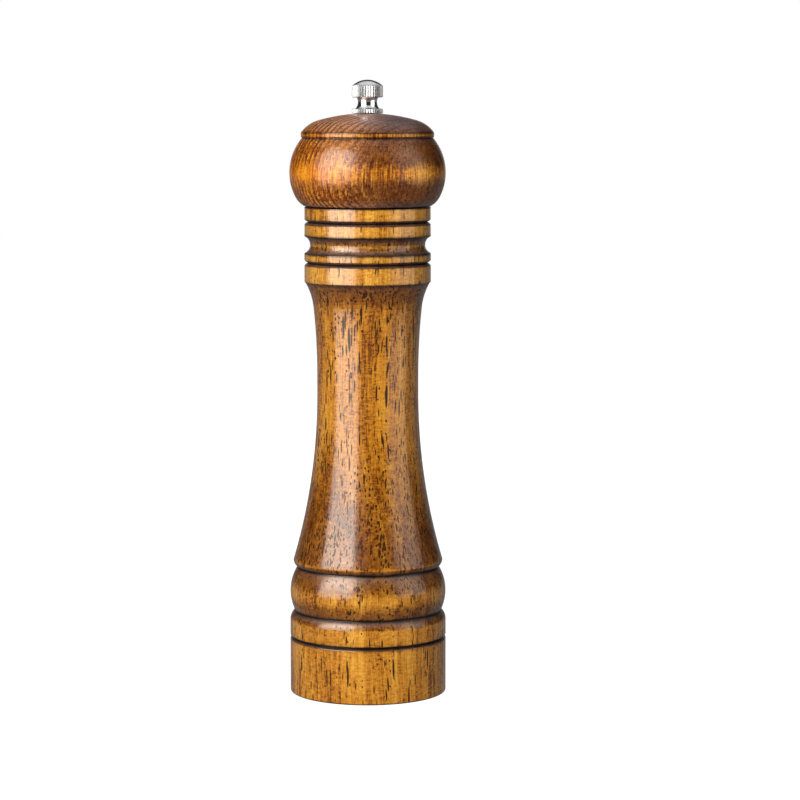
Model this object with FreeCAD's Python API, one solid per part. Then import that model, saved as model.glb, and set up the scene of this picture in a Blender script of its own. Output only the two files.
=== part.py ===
# Wooden pepper mill: turned body and head, ceramic grinder on a square shaft, knurled finial nut.
# Millimetres. The mill's axis is +Z, and the origin is the centre of the foot that it stands on.

import FreeCAD
import Part
import math
import os

# Turned body, diameters
BASE_D = 53.0            # foot drum and the band above it; the bead and the head follow it
BEAD_INSET = 0.1         # crest of the bead, inside the drum's face
BEAD_D = BASE_D - 2 * BEAD_INSET
RIM_D = 50.7             # lower rim of the flared waist
WAIST_D = 34.3           # narrowest part of the waist
NECK_D = 36.6            # where the neck starts to open towards the collar
COLLAR_D = 42.6          # the four rings of the collar
COVE_D = 38.8            # floor of the cove between the rings

# Turned body, heights from the foot upwards
DRUM_H = 19.0            # foot to the scribed line
BAND_H = 9.0             # scribed line to the valley under the bead
BEAD_H = 15.1            # valley to valley over the bead
RIM_H = 2.2              # valley to the widest point of the flare
FLARE_H = 56.7           # rim to the waist
WAIST_H = 8.0            # straight part of the waist
NECK_H = 21.3            # waist to the start of the opening
THROAT_H = 8.1           # opening of the neck up to the collar
LOW_RING_H = 6.9         # collar's foot to the lower groove
MID_RING_H = 3.2         # lower groove to the cove
COVE_H = 5.7             # cove
HIGH_RING_H = 4.85       # cove to the upper groove
TOP_RING_H = 4.95        # upper groove to the body's top face

# Turned body, edges
FOOT_ROUND = 0.6
SCRIBE_W = 1.3
SCRIBE_DEPTH = 0.9
BAND_ROUND_H = 3.0       # height of the band's rounded shoulder
BEAD_LOW_DEPTH = 1.5     # valley under the bead, below its crest
BEAD_HIGH_DEPTH = 2.5    # valley over the bead, below its crest
COLLAR_CHAMFER = 0.45
GROOVE_W = 1.8
GROOVE_DEPTH = 1.5

# Head
HEAD_INSET = 0.2         # widest part of the head, inside the drum's face
HEAD_D = BASE_D - 2 * HEAD_INSET
HEAD_FOOT_D = 42.4       # edge that sits over the collar
HEAD_KNEE_D = 48.5       # where the lower curve tightens
HEAD_KNEE_H = 3.0        # foot to that knee
HEAD_LOW_H = 8.3         # knee to the widest part
HEAD_HIGH_H = 11.6       # widest part to the scribed line under the lip
LIP_D = 44.8
LIP_GROOVE_W = 0.7
LIP_GROOVE_DEPTH = 0.4
LIP_H = 1.7              # scribed line to the edge of the dome
DOME_SHOULDER_D = 33.0   # where the dome's edge curve meets its crown
DOME_SHOULDER_H = 4.15
DOME_CROWN_R = 60.0
SEAT_RIM = 0.3           # flat seat's rim around the finial
TENON_L = 10.0           # spigot that turns in the body's mouth
TENON_CHAMFER = 0.8

# Finial nut
FINIAL_D = 10.4
FINIAL_FLANGE_H = 1.7
FINIAL_NECK_D = 6.45
FINIAL_NECK_FOOT_D = 8.1
FINIAL_NECK_H = 3.7
FINIAL_CAP_H = 4.45       # with its chamfer
FINIAL_CAP_CHAMFER = 0.65
FINIAL_DOME_H = 1.5
FINIAL_CROWN_T = 2.6     # metal left above the thread's hole
KNURLS = 36
KNURL_DEPTH = 0.28

# Square shaft
SHAFT_AF = 5.0           # across flats
STUD_D = 4.0             # round threaded top
STUD_L = 17.0
STUD_REACH = 7.0         # how far the thread goes into the finial nut
STUD_CHAMFER = 0.5
PILOT_L = 9.0            # hole in the shaft's lower end for the rotor screw

# Pepper chamber
CHAMBER_D = 25.0
MOUTH_CHAMFER = 0.8      # lead-in at the body's mouth

# Grinder housing, moulded
RECESS_H = 9.0           # foot to the underside of the flange
FLANGE_D = 43.0
FLANGE_T = 2.5
BARREL_D = 32.0
BARREL_WALL = 2.0
HOUSING_H = 27.0
LEDGE_T = 1.4            # shoulder that the stator seats against
LEDGE_W = 3.0
ARMS = 3
ARM_W = 3.2
ARM_H = 4.0
ARM_TURN = 90.0          # degrees, first arm from +X
HUB_D = 12.4
HUB_H = 5.0
KEYS = 3                 # ribs that stop the stator turning
KEY_W = 3.0
KEY_DEPTH = 0.8
KEY_TURN = 30.0          # degrees, so that the ribs stand between the arms and the screws

# Ceramic burrs
STATOR_H = 12.0
STATOR_LIP_T = 2.55      # pocket's wall to the tips of the fine teeth at the outlet
STATOR_MID_T = 3.8       # to the tips where fine teeth meet the coarse ones
STATOR_MOUTH_T = 3.4     # to the tips of the coarse teeth at the top
STATOR_FINE_H = 6.0
STATOR_FINE_TEETH = 28
STATOR_FINE_DEPTH = 0.7
STATOR_COARSE_TEETH = 10
STATOR_COARSE_DEPTH = 1.1
STATOR_LEAN = 1.6        # degrees of helix per millimetre, right-handed
ROTOR_H = 14.0
ROTOR_FINE_H = 6.2
GRIND_GAP = 0.5          # rotor's tips to the stator's at the outlet
BREAK_GAP = 1.3          # where fine teeth meet the coarse ones
FEED_GAP = 3.3           # at the top, where the corns fall in
ROTOR_FINE_TEETH = 24
ROTOR_FINE_DEPTH = 0.6
ROTOR_COARSE_TEETH = 8
ROTOR_COARSE_DEPTH = 1.2
ROTOR_LEAN = -3.4        # left-handed, so that a clockwise turn feeds downwards
TOOTH_LEVELS = 4         # sections along each zone of twisted teeth
TOOTH_FACE = 0.14        # share of the tooth pitch that the cutting face takes

# Pieces on the shaft
SLEEVE_WALL = 1.2
BUSH_WALL = 1.1
BUSH_FLANGE_W = 0.9
BUSH_FLANGE_T = 0.8
WIRE_D = 0.8
SPRING_TURNS = 4
THRUST_WASHER_W = 1.9
THRUST_WASHER_T = 0.7
ROTOR_WASHER_D = 12.0
ROTOR_WASHER_T = 0.8
LOCK_WASHER_D = 6.2
LOCK_WASHER_T = 0.7
LOCK_WASHER_SLIT = 0.6

# Fasteners
ROTOR_SCREW_D = 3.0
ROTOR_SCREW_L = 8.0
ROTOR_SCREW_HEAD_D = 5.6
ROTOR_SCREW_HEAD_H = 1.9
HOUSING_SCREWS = 3
HOUSING_SCREW_D = 2.6
HOUSING_SCREW_L = 10.0
HOUSING_SCREW_HEAD_D = 4.6
HOUSING_SCREW_HEAD_H = 1.6
PLATE_D = 21.0
PLATE_T = 1.2
PLATE_SCREWS = 3
PLATE_SCREW_D = 2.2
PLATE_SCREW_L = 7.0
PLATE_SCREW_HEAD_D = 4.0
PLATE_SCREW_HEAD_H = 1.3

# Clearances
SEAT_GAP = 0.3           # under the head, where it turns on the body
FINIAL_GAP = 0.1         # under the finial nut
TURN_CLEAR = 0.3         # radial, where wood turns in wood
SHAFT_CLEAR = 0.15       # around the square shaft
THREAD_CLEAR = 0.05      # around the shaft's threaded top
FIT_CLEAR = 0.05         # around pieces that are pushed home
HOUSING_CLEAR = 0.2      # around the housing in the wood
STACK_GAP = 0.1          # between the pieces stacked on the shaft

# Heights along the axis, from the sizes above
Z_SCRIBE = DRUM_H
Z_BEAD_LOW = Z_SCRIBE + BAND_H
Z_BEAD_HIGH = Z_BEAD_LOW + BEAD_H
Z_RIM = Z_BEAD_HIGH + RIM_H
Z_WAIST = Z_RIM + FLARE_H
Z_NECK = Z_WAIST + WAIST_H + NECK_H
Z_COLLAR = Z_NECK + THROAT_H
Z_LOW_GROOVE = Z_COLLAR + LOW_RING_H
Z_COVE = Z_LOW_GROOVE + MID_RING_H
Z_COVE_TOP = Z_COVE + COVE_H
Z_HIGH_GROOVE = Z_COVE_TOP + HIGH_RING_H
Z_TOP = Z_HIGH_GROOVE + TOP_RING_H

Z_HEAD = Z_TOP + SEAT_GAP
Z_HEAD_KNEE = Z_HEAD + HEAD_KNEE_H
Z_HEAD_CREST = Z_HEAD_KNEE + HEAD_LOW_H
Z_LIP = Z_HEAD_CREST + HEAD_HIGH_H
Z_DOME = Z_LIP + LIP_H
Z_SHOULDER = Z_DOME + DOME_SHOULDER_H
Z_TENON = Z_HEAD - TENON_L
Z_PLATE = Z_TENON - PLATE_T

Z_FLANGE = RECESS_H
Z_SEAT_TOP = Z_FLANGE + STATOR_H
Z_HOUSING_TOP = Z_FLANGE + HOUSING_H
Z_HUB = Z_HOUSING_TOP - HUB_H
Z_ROTOR_TOP = Z_FLANGE + ROTOR_H
Z_THRUST = Z_HUB - STACK_GAP - THRUST_WASHER_T
Z_ROTOR_WASHER = Z_FLANGE - ROTOR_WASHER_T
Z_LOCK_WASHER = Z_ROTOR_WASHER - LOCK_WASHER_T

# Radii that several pieces share
SHAFT_CORNER_R = SHAFT_AF / 2 * math.sqrt(2)
SHAFT_BORE_R = SHAFT_CORNER_R + SHAFT_CLEAR
SEAT_R = FINIAL_D / 2 + SEAT_RIM
POCKET_R = BARREL_D / 2 - BARREL_WALL
STATOR_LIP_R = POCKET_R - STATOR_LIP_T
STATOR_MID_R = POCKET_R - STATOR_MID_T
STATOR_MOUTH_R = POCKET_R - STATOR_MOUTH_T
ROTOR_FOOT_R = STATOR_LIP_R - GRIND_GAP
ROTOR_MID_R = STATOR_MID_R - BREAK_GAP
ROTOR_TOP_R = STATOR_MOUTH_R - FEED_GAP
BUSH_R = SHAFT_BORE_R + BUSH_WALL
SPRING_R = SHAFT_BORE_R + WIRE_D / 2
SLEEVE_AF = SHAFT_AF + 2 * SLEEVE_WALL
HOUSING_SCREW_R = (BARREL_D + FLANGE_D) / 4
PLATE_SCREW_R = (PLATE_D / 2 + SHAFT_BORE_R) / 2

AXIS = FreeCAD.Vector(0, 0, 1)
CENTRE = FreeCAD.Vector(0, 0, 0)


def at(radius, z):
    """Point of a turned outline."""
    return FreeCAD.Vector(radius, 0, z)


class Outline:
    """Half of a turned section, drawn edge by edge and then spun round the axis."""

    def __init__(self, radius, z):
        self.start = at(radius, z)
        self.here = self.start
        self.heading = AXIS
        self.edges = []

    def line(self, radius, z):
        """Straight to a point."""
        there = at(radius, z)
        self.heading = (there - self.here).normalize()
        self.edges.append(Part.LineSegment(self.here, there).toShape())
        self.here = there
        return self

    def _arc(self, middle, there):
        curve = Part.Arc(self.here, middle, there)
        self.heading = curve.tangent(curve.LastParameter)[0]
        self.edges.append(curve.toShape())
        self.here = there
        return self

    def bulge(self, radius, z, height):
        """Arc that stands out from its chord by height, to the right of the way that it goes."""
        there = at(radius, z)
        chord = there - self.here
        right = FreeCAD.Vector(chord.z, 0, -chord.x).normalize()
        return self._arc((self.here + there) * 0.5 + right * height, there)

    def _swing(self, there, direction, along):
        """Arc between here and there that has direction at its start (along 1) or at its end (along -1)."""
        chord = there - self.here
        unit = FreeCAD.Vector(chord).normalize()
        aside = direction - unit * direction.dot(unit)
        half = math.acos(max(-1.0, min(1.0, direction.dot(unit)))) / 2
        rise = aside.normalize() * (along * chord.Length / 2 * math.tan(half))
        return self._arc((self.here + there) * 0.5 + rise, there)

    def flow(self, radius, z):
        """Arc that carries on from the last edge without a corner."""
        return self._swing(at(radius, z), self.heading, 1)

    def arrive(self, radius, z, direction):
        """Arc that reaches its end in the given direction."""
        return self._swing(at(radius, z), direction, -1)

    def turned(self):
        """The closed outline, spun into a solid."""
        if (self.here - self.start).Length > 1e-7:
            self.line(self.start.x, self.start.z)
        face = Part.Face(Part.Wire(self.edges))
        return face.revolve(CENTRE, AXIS, 360)


def tube(outer, inner, z, height):
    """Plain ring."""
    ring = Part.makeCylinder(outer, height, at(0, z))
    return ring.cut(Part.makeCylinder(inner, height, at(0, z)))


def prism(across_flats, sides, z, height):
    """Upright prism on a regular polygon."""
    corner = across_flats / 2 / math.cos(math.pi / sides)
    angles = [2 * math.pi * (i + 0.5) / sides for i in range(sides + 1)]
    points = [FreeCAD.Vector(corner * math.cos(a), corner * math.sin(a), z) for a in angles]
    return Part.Face(Part.makePolygon(points)).extrude(AXIS * height)


def around(shape, count, start=0.0):
    """Copies of a shape, spaced evenly round the axis."""
    copies = []
    for i in range(count):
        copy = shape.copy()
        copy.rotate(CENTRE, AXIS, start + 360.0 * i / count)
        copies.append(copy)
    return copies


def screw(radius, z, shank_d, length, head_d, head_h):
    """Pan-head screw that points up, with the underside of its head at z."""
    head = Outline(0, z - head_h)
    head.line(head_d / 2 - head_h / 2, z - head_h).arrive(head_d / 2, z, AXIS)
    head.line(shank_d / 2, z).line(shank_d / 2, z + length - shank_d / 2).line(0, z + length)
    solid = head.turned()
    solid.translate(FreeCAD.Vector(radius, 0, 0))
    return solid


def pilot(radius, z, shank_d, length):
    """Hole that a screw is driven into."""
    hole = Part.makeCylinder(shank_d / 2 + FIT_CLEAR, length + FIT_CLEAR, at(0, z))
    hole.translate(FreeCAD.Vector(radius, 0, 0))
    return hole


def tooth_ring(teeth, tip_r, root_r, z, turn):
    """Corners of one section through saw teeth: a short cutting face, then a long back."""
    pitch = 2 * math.pi / teeth
    points = []
    for i in range(teeth):
        tip = i * pitch + math.radians(turn)
        for angle, radius in ((tip - TOOTH_FACE * pitch, root_r), (tip, tip_r)):
            points.append(FreeCAD.Vector(radius * math.cos(angle), radius * math.sin(angle), z))
    return points


def toothed(teeth, low, high, lean):
    """Solid with twisted saw teeth between two levels, each given as (z, tip radius, root radius)."""
    rings = []
    for step in range(TOOTH_LEVELS + 1):
        share = step / TOOTH_LEVELS
        z, tip_r, root_r = (a + (b - a) * share for a, b in zip(low, high))
        rings.append(tooth_ring(teeth, tip_r, root_r, z, lean * (z - Z_FLANGE)))
    faces = [Part.Face(Part.makePolygon(ring + ring[:1])) for ring in (rings[0], rings[-1])]
    for below, above in zip(rings, rings[1:]):
        for i in range(len(below)):
            j = (i + 1) % len(below)
            lower = Part.LineSegment(below[i], below[j]).toShape()
            upper = Part.LineSegment(above[i], above[j]).toShape()
            faces.append(Part.makeRuledSurface(lower, upper))
    shell = Part.makeShell(faces)
    shell.sewShape()
    solid = Part.makeSolid(shell)
    if solid.Volume < 0:
        solid.reverse()
    return solid


def mill_body():
    """Turned body with its chamber, the bore for the grinder and the recess under the foot."""
    base_r = BASE_D / 2
    bead_r = BEAD_D / 2
    collar_r = COLLAR_D / 2
    chamber_r = CHAMBER_D / 2
    recess_r = FLANGE_D / 2 + HOUSING_CLEAR
    barrel_r = BARREL_D / 2 + HOUSING_CLEAR
    z_flange_top = Z_FLANGE + FLANGE_T
    z_shoulder = Z_HOUSING_TOP + HOUSING_CLEAR

    o = Outline(recess_r, 0)
    o.line(base_r - FOOT_ROUND, 0).bulge(base_r, FOOT_ROUND, FOOT_ROUND * (1 - math.sqrt(0.5)))
    o.line(base_r, Z_SCRIBE - SCRIBE_W / 2).line(base_r - SCRIBE_DEPTH, Z_SCRIBE)
    o.line(base_r, Z_SCRIBE + SCRIBE_W / 2).line(base_r, Z_BEAD_LOW - BAND_ROUND_H)
    o.arrive(bead_r - BEAD_LOW_DEPTH, Z_BEAD_LOW, FreeCAD.Vector(-1, 0, 0.8).normalize())
    o.bulge(bead_r - BEAD_HIGH_DEPTH, Z_BEAD_HIGH, (BEAD_LOW_DEPTH + BEAD_HIGH_DEPTH) / 2)
    o.arrive(RIM_D / 2, Z_RIM, AXIS)
    o.arrive(WAIST_D / 2, Z_WAIST, AXIS).line(WAIST_D / 2, Z_WAIST + WAIST_H)
    o.flow(NECK_D / 2, Z_NECK).flow(collar_r - COLLAR_CHAMFER, Z_COLLAR)
    o.line(collar_r, Z_COLLAR + COLLAR_CHAMFER)
    collar_groove(o, Z_LOW_GROOVE)
    o.line(collar_r, Z_COVE).bulge(collar_r, Z_COVE_TOP, (COVE_D - COLLAR_D) / 2)
    collar_groove(o, Z_HIGH_GROOVE)
    o.line(collar_r, Z_TOP)
    o.line(chamber_r + MOUTH_CHAMFER, Z_TOP).line(chamber_r, Z_TOP - MOUTH_CHAMFER)
    o.line(chamber_r, z_shoulder).line(barrel_r, z_shoulder)
    o.line(barrel_r, z_flange_top).line(recess_r, z_flange_top)
    body = o.turned()
    hole = pilot(HOUSING_SCREW_R, z_flange_top, HOUSING_SCREW_D, HOUSING_SCREW_L - FLANGE_T)
    return body.cut(around(hole, HOUSING_SCREWS))


def collar_groove(outline, z):
    """Groove with soft shoulders, cut into the collar."""
    radius = COLLAR_D / 2
    soft = GROOVE_W / 10
    outline.line(radius, z - GROOVE_W / 2).bulge(radius - GROOVE_DEPTH, z, soft)
    outline.bulge(radius, z + GROOVE_W / 2, soft)


def head_seat_z():
    """Height of the flat seat under the finial, on the crown of the dome."""
    def sag(radius):
        return DOME_CROWN_R - math.sqrt(DOME_CROWN_R ** 2 - radius ** 2)
    return Z_SHOULDER + sag(DOME_SHOULDER_D / 2) - sag(SEAT_R)


def mill_head():
    """Turned head with the spigot that turns in the body's mouth."""
    crest_r = HEAD_D / 2
    lip_r = LIP_D / 2
    tenon_r = CHAMBER_D / 2 - TURN_CLEAR
    z_seat = head_seat_z()
    shoulder_r = DOME_SHOULDER_D / 2
    crown_dip = math.asin(shoulder_r / DOME_CROWN_R)
    inward = FreeCAD.Vector(-math.cos(crown_dip), 0, math.sin(crown_dip))
    lower_half = math.atan2(crest_r - HEAD_KNEE_D / 2, HEAD_LOW_H)
    knee = FreeCAD.Vector(math.sin(2 * lower_half), 0, math.cos(2 * lower_half))

    o = Outline(tenon_r, Z_HEAD)
    o.line(HEAD_FOOT_D / 2, Z_HEAD).arrive(HEAD_KNEE_D / 2, Z_HEAD_KNEE, knee)
    o.arrive(crest_r, Z_HEAD_CREST, AXIS)
    o.flow(lip_r - LIP_GROOVE_DEPTH, Z_LIP).line(lip_r, Z_LIP + LIP_GROOVE_W / 2).line(lip_r, Z_DOME)
    o.arrive(shoulder_r, Z_SHOULDER, inward).flow(SEAT_R, z_seat)
    o.line(SHAFT_BORE_R, z_seat).line(SHAFT_BORE_R, Z_TENON)
    o.line(tenon_r - TENON_CHAMFER, Z_TENON).line(tenon_r, Z_TENON + TENON_CHAMFER)
    head = o.turned()
    hole = pilot(PLATE_SCREW_R, Z_TENON, PLATE_SCREW_D, PLATE_SCREW_L - PLATE_T)
    return head.cut(around(hole, PLATE_SCREWS))


def finial_nut():
    """Turned nut with two knurled rims, and the blind hole for the shaft's thread."""
    rim_r = FINIAL_D / 2
    neck_foot_r = FINIAL_NECK_FOOT_D / 2
    neck_top_r = (FINIAL_NECK_D + FINIAL_NECK_FOOT_D) / 4
    z = head_seat_z() + FINIAL_GAP
    z_neck = z + FINIAL_FLANGE_H
    z_cap = z_neck + FINIAL_NECK_H
    z_dome = z_cap + FINIAL_CAP_H
    z_top = z_dome + FINIAL_DOME_H
    dome_r = rim_r - FINIAL_CAP_CHAMFER
    bore_r = STUD_D / 2 + THREAD_CLEAR
    waist = (neck_foot_r + neck_top_r - FINIAL_NECK_D) / 2

    o = Outline(bore_r, z)
    o.line(rim_r, z).line(rim_r, z_neck).line(neck_foot_r, z_neck)
    o.bulge(neck_top_r, z_cap, -waist).line(rim_r, z_cap)
    o.line(rim_r, z_dome - FINIAL_CAP_CHAMFER).line(dome_r, z_dome)
    o.arrive(0, z_top, FreeCAD.Vector(-1, 0, 0))
    o.line(0, z_top - FINIAL_CROWN_T).line(bore_r, z_top - FINIAL_CROWN_T)
    blank = o.turned()
    pitch = 2 * math.pi / KNURLS
    corners = []
    for i in range(2 * KNURLS + 1):
        radius = rim_r if i % 2 else rim_r - KNURL_DEPTH
        angle = i * pitch / 2
        corners.append(FreeCAD.Vector(radius * math.cos(angle), radius * math.sin(angle), z))
    return blank.common(Part.Face(Part.makePolygon(corners)).extrude(AXIS * (z_top - z)))


def drive_shaft():
    """Square rod from the rotor up to the head, with a round threaded top for the finial nut."""
    z_end = Z_FLANGE + STACK_GAP
    z_stud_top = head_seat_z() + FINIAL_GAP + STUD_REACH
    z_stud = z_stud_top - STUD_L
    rod = prism(SHAFT_AF, 4, z_end, z_stud - z_end)
    stud = Outline(0, z_stud)
    stud.line(STUD_D / 2, z_stud).line(STUD_D / 2, z_stud_top - STUD_CHAMFER)
    stud.line(STUD_D / 2 - STUD_CHAMFER, z_stud_top).line(0, z_stud_top)
    hole = Part.makeCylinder(ROTOR_SCREW_D / 2 + FIT_CLEAR, PILOT_L, at(0, z_end))
    return rod.fuse(stud.turned()).removeSplitter().cut(hole)


def head_drive_plate():
    """Steel disc under the head whose square hole turns the shaft."""
    plate = Part.makeCylinder(PLATE_D / 2, PLATE_T, at(0, Z_PLATE))
    hole = pilot(PLATE_SCREW_R, Z_PLATE, PLATE_SCREW_D, PLATE_T)
    square = prism(SHAFT_AF + 2 * SHAFT_CLEAR, 4, Z_PLATE, PLATE_T)
    return plate.cut([square, *around(hole, PLATE_SCREWS)])


def head_plate_screws():
    """Screws that hold the drive plate on the spigot."""
    one = screw(PLATE_SCREW_R, Z_PLATE, PLATE_SCREW_D, PLATE_SCREW_L,
                PLATE_SCREW_HEAD_D, PLATE_SCREW_HEAD_H)
    return Part.makeCompound(around(one, PLATE_SCREWS))


def grinder_housing():
    """Moulded barrel with a screw flange, a keyed pocket for the stator and an armed hub on top."""
    barrel_r = BARREL_D / 2
    z_flange_top = Z_FLANGE + FLANGE_T
    z_ledge_top = Z_SEAT_TOP + LEDGE_T
    o = Outline(POCKET_R, Z_FLANGE)
    o.line(FLANGE_D / 2, Z_FLANGE).line(FLANGE_D / 2, z_flange_top).line(barrel_r, z_flange_top)
    o.line(barrel_r, Z_HOUSING_TOP).line(POCKET_R, Z_HOUSING_TOP).line(POCKET_R, z_ledge_top + LEDGE_W)
    o.line(POCKET_R - LEDGE_W, z_ledge_top).line(POCKET_R - LEDGE_W, Z_SEAT_TOP).line(POCKET_R, Z_SEAT_TOP)
    shell = o.turned()
    hub = Part.makeCylinder(HUB_D / 2, HUB_H, at(0, Z_HUB))
    arm_length = POCKET_R + BARREL_WALL / 2
    arm = Part.makeBox(arm_length, ARM_W, ARM_H, FreeCAD.Vector(0, -ARM_W / 2, Z_HOUSING_TOP - ARM_H))
    shell = shell.fuse([hub, *around(arm, ARMS, ARM_TURN), *stator_keys(0)]).removeSplitter()
    hole = pilot(HOUSING_SCREW_R, Z_FLANGE, HOUSING_SCREW_D, FLANGE_T)
    bore = Part.makeCylinder(BUSH_R + FIT_CLEAR, HUB_H, at(0, Z_HUB))
    return shell.cut([bore, *around(hole, HOUSING_SCREWS)])


def stator_keys(clearance):
    """Ribs in the housing's pocket, or, with a clearance, the slots for them in the stator."""
    inner_r = POCKET_R - KEY_DEPTH - clearance
    width = KEY_W + 2 * clearance
    reach = KEY_DEPTH + clearance + BARREL_WALL / 2
    key = Part.makeBox(reach, width, STATOR_H, FreeCAD.Vector(inner_r, -width / 2, Z_FLANGE))
    return around(key, KEYS, KEY_TURN)


def housing_screws():
    """Screws that hold the housing's flange against the wood."""
    one = screw(HOUSING_SCREW_R, Z_FLANGE, HOUSING_SCREW_D, HOUSING_SCREW_L,
                HOUSING_SCREW_HEAD_D, HOUSING_SCREW_HEAD_H)
    return Part.makeCompound(around(one, HOUSING_SCREWS))


def shaft_bush():
    """Flanged bearing for the shaft in the housing's hub."""
    sleeve = tube(BUSH_R, SHAFT_BORE_R, Z_HUB, HUB_H)
    flange = tube(BUSH_R + BUSH_FLANGE_W, SHAFT_BORE_R, Z_HOUSING_TOP, BUSH_FLANGE_T)
    return sleeve.fuse(flange).removeSplitter()


def grinder_stator():
    """Ceramic ring: coarse cracking teeth above, fine teeth that widen towards the outlet below."""
    z_mid = Z_FLANGE + STATOR_FINE_H
    ring = Part.makeCylinder(POCKET_R - FIT_CLEAR, STATOR_H, at(0, Z_FLANGE))
    fine = toothed(STATOR_FINE_TEETH,
                   (Z_FLANGE, STATOR_LIP_R, STATOR_LIP_R + STATOR_FINE_DEPTH),
                   (z_mid, STATOR_MID_R, STATOR_MID_R + STATOR_FINE_DEPTH), STATOR_LEAN)
    coarse = toothed(STATOR_COARSE_TEETH,
                     (z_mid, STATOR_MID_R, STATOR_MID_R + STATOR_COARSE_DEPTH),
                     (Z_SEAT_TOP, STATOR_MOUTH_R, STATOR_MOUTH_R + STATOR_COARSE_DEPTH), STATOR_LEAN)
    return ring.cut([fine, coarse, *stator_keys(FIT_CLEAR)])


def grinder_rotor():
    """Ceramic cone: spiral ribs above draw the corns in, fine teeth below, hexagon hole for the sleeve."""
    z_mid = Z_FLANGE + ROTOR_FINE_H
    fine = toothed(ROTOR_FINE_TEETH,
                   (Z_FLANGE, ROTOR_FOOT_R, ROTOR_FOOT_R - ROTOR_FINE_DEPTH),
                   (z_mid, ROTOR_MID_R, ROTOR_MID_R - ROTOR_FINE_DEPTH), ROTOR_LEAN)
    coarse = toothed(ROTOR_COARSE_TEETH,
                     (z_mid, ROTOR_MID_R, ROTOR_MID_R - ROTOR_COARSE_DEPTH),
                     (Z_ROTOR_TOP, ROTOR_TOP_R, ROTOR_TOP_R - ROTOR_COARSE_DEPTH), ROTOR_LEAN)
    hole = prism(SLEEVE_AF + 2 * FIT_CLEAR, 6, Z_FLANGE, ROTOR_H)
    return fine.fuse(coarse).cut(hole)


def rotor_sleeve():
    """Hexagonal sleeve between the rotor and the square shaft."""
    sleeve = prism(SLEEVE_AF, 6, Z_FLANGE, ROTOR_H)
    return sleeve.cut(prism(SHAFT_AF + 2 * FIT_CLEAR, 4, Z_FLANGE, ROTOR_H))


def biarc(start, start_way, end, end_way):
    """Two arcs that leave start and reach end in the given directions and meet without a corner."""
    span = end - start
    ways = start_way + end_way
    turn = 2 * (1 - start_way.dot(end_way))
    reach = (math.sqrt(span.dot(ways) ** 2 + turn * span.dot(span)) - span.dot(ways)) / turn
    joint = (start + end + (start_way - end_way) * reach) * 0.5
    arcs = []
    for point, way, far in ((start, start_way, joint), (end, end_way * -1, joint)):
        chord = far - point
        unit = FreeCAD.Vector(chord).normalize()
        aside = way - unit * way.dot(unit)
        half = math.acos(max(-1.0, min(1.0, way.dot(unit)))) / 2
        middle = point + chord * 0.5 + aside.normalize() * (chord.Length / 2 * math.tan(half))
        ends = (point, middle, far) if way is start_way else (far, middle, point)
        arcs.append(Part.Arc(*ends).toShape())
    return arcs


def rotor_spring():
    """Open coil between the rotor and the thrust washer, as one unbroken tube."""
    z_low = Z_ROTOR_TOP + STACK_GAP + WIRE_D / 2
    z_high = Z_THRUST - STACK_GAP - WIRE_D / 2
    rise = (z_high - z_low) / (2 * math.pi * SPRING_TURNS)
    quarter = math.pi / 2

    def place(angle):
        return FreeCAD.Vector(SPRING_R * math.cos(angle), SPRING_R * math.sin(angle), z_low + rise * angle)

    def way(angle):
        return FreeCAD.Vector(-SPRING_R * math.sin(angle), SPRING_R * math.cos(angle), rise).normalize()

    edges = []
    for i in range(4 * SPRING_TURNS):
        a, b = i * quarter, (i + 1) * quarter
        edges += biarc(place(a), way(a), place(b), way(b))
    section = Part.Wire(Part.makeCircle(WIRE_D / 2, place(0), way(0)))
    coil = Part.Wire(edges).makePipeShell([section], True, False)
    print("spring: gap between turns", round(2 * math.pi * rise - WIRE_D, 2), "mm")
    return coil


def spring_washer():
    """Thrust washer between the spring and the hub."""
    return tube(SPRING_R + THRUST_WASHER_W / 2, SHAFT_BORE_R, Z_THRUST, THRUST_WASHER_T)


def rotor_washer():
    """Flat washer under the rotor."""
    return tube(ROTOR_WASHER_D / 2, ROTOR_SCREW_D / 2 + FIT_CLEAR, Z_ROTOR_WASHER, ROTOR_WASHER_T)


def rotor_lock_washer():
    """Split washer under the head of the rotor screw."""
    ring = tube(LOCK_WASHER_D / 2, ROTOR_SCREW_D / 2 + FIT_CLEAR, Z_LOCK_WASHER, LOCK_WASHER_T)
    corner = FreeCAD.Vector(0, -LOCK_WASHER_SLIT / 2, Z_LOCK_WASHER)
    return ring.cut(Part.makeBox(LOCK_WASHER_D, LOCK_WASHER_SLIT, LOCK_WASHER_T, corner))


def rotor_screw():
    """Screw in the shaft's lower end that carries the rotor."""
    return screw(0, Z_LOCK_WASHER, ROTOR_SCREW_D, ROTOR_SCREW_L, ROTOR_SCREW_HEAD_D, ROTOR_SCREW_HEAD_H)


PIECES = [
    mill_body, mill_head, finial_nut, drive_shaft, head_drive_plate, head_plate_screws,
    grinder_housing, housing_screws, shaft_bush, grinder_stator, grinder_rotor, rotor_sleeve,
    rotor_spring, spring_washer, rotor_washer, rotor_lock_washer, rotor_screw,
]


def main():
    os.makedirs("parts", exist_ok=True)
    for piece in PIECES:
        shape = piece()
        name = piece.__name__
        shape.exportStep(os.path.join("parts", name + ".step"))
        sound = shape.isValid() and all(s.isClosed() for s in shape.Shells)
        print(name, "solids", len(shape.Solids), "volume", round(shape.Volume, 1), "sound", sound)


main()
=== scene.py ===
"""Looks of a turned wooden pepper mill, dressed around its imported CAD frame.

Sizes of pieces and of the wood's figure are in millimetres, with heights from the foot.
The stage and the relief of surfaces are in metres.
"""
import math

import bmesh
import bpy
from mathutils import Matrix, Vector


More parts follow.
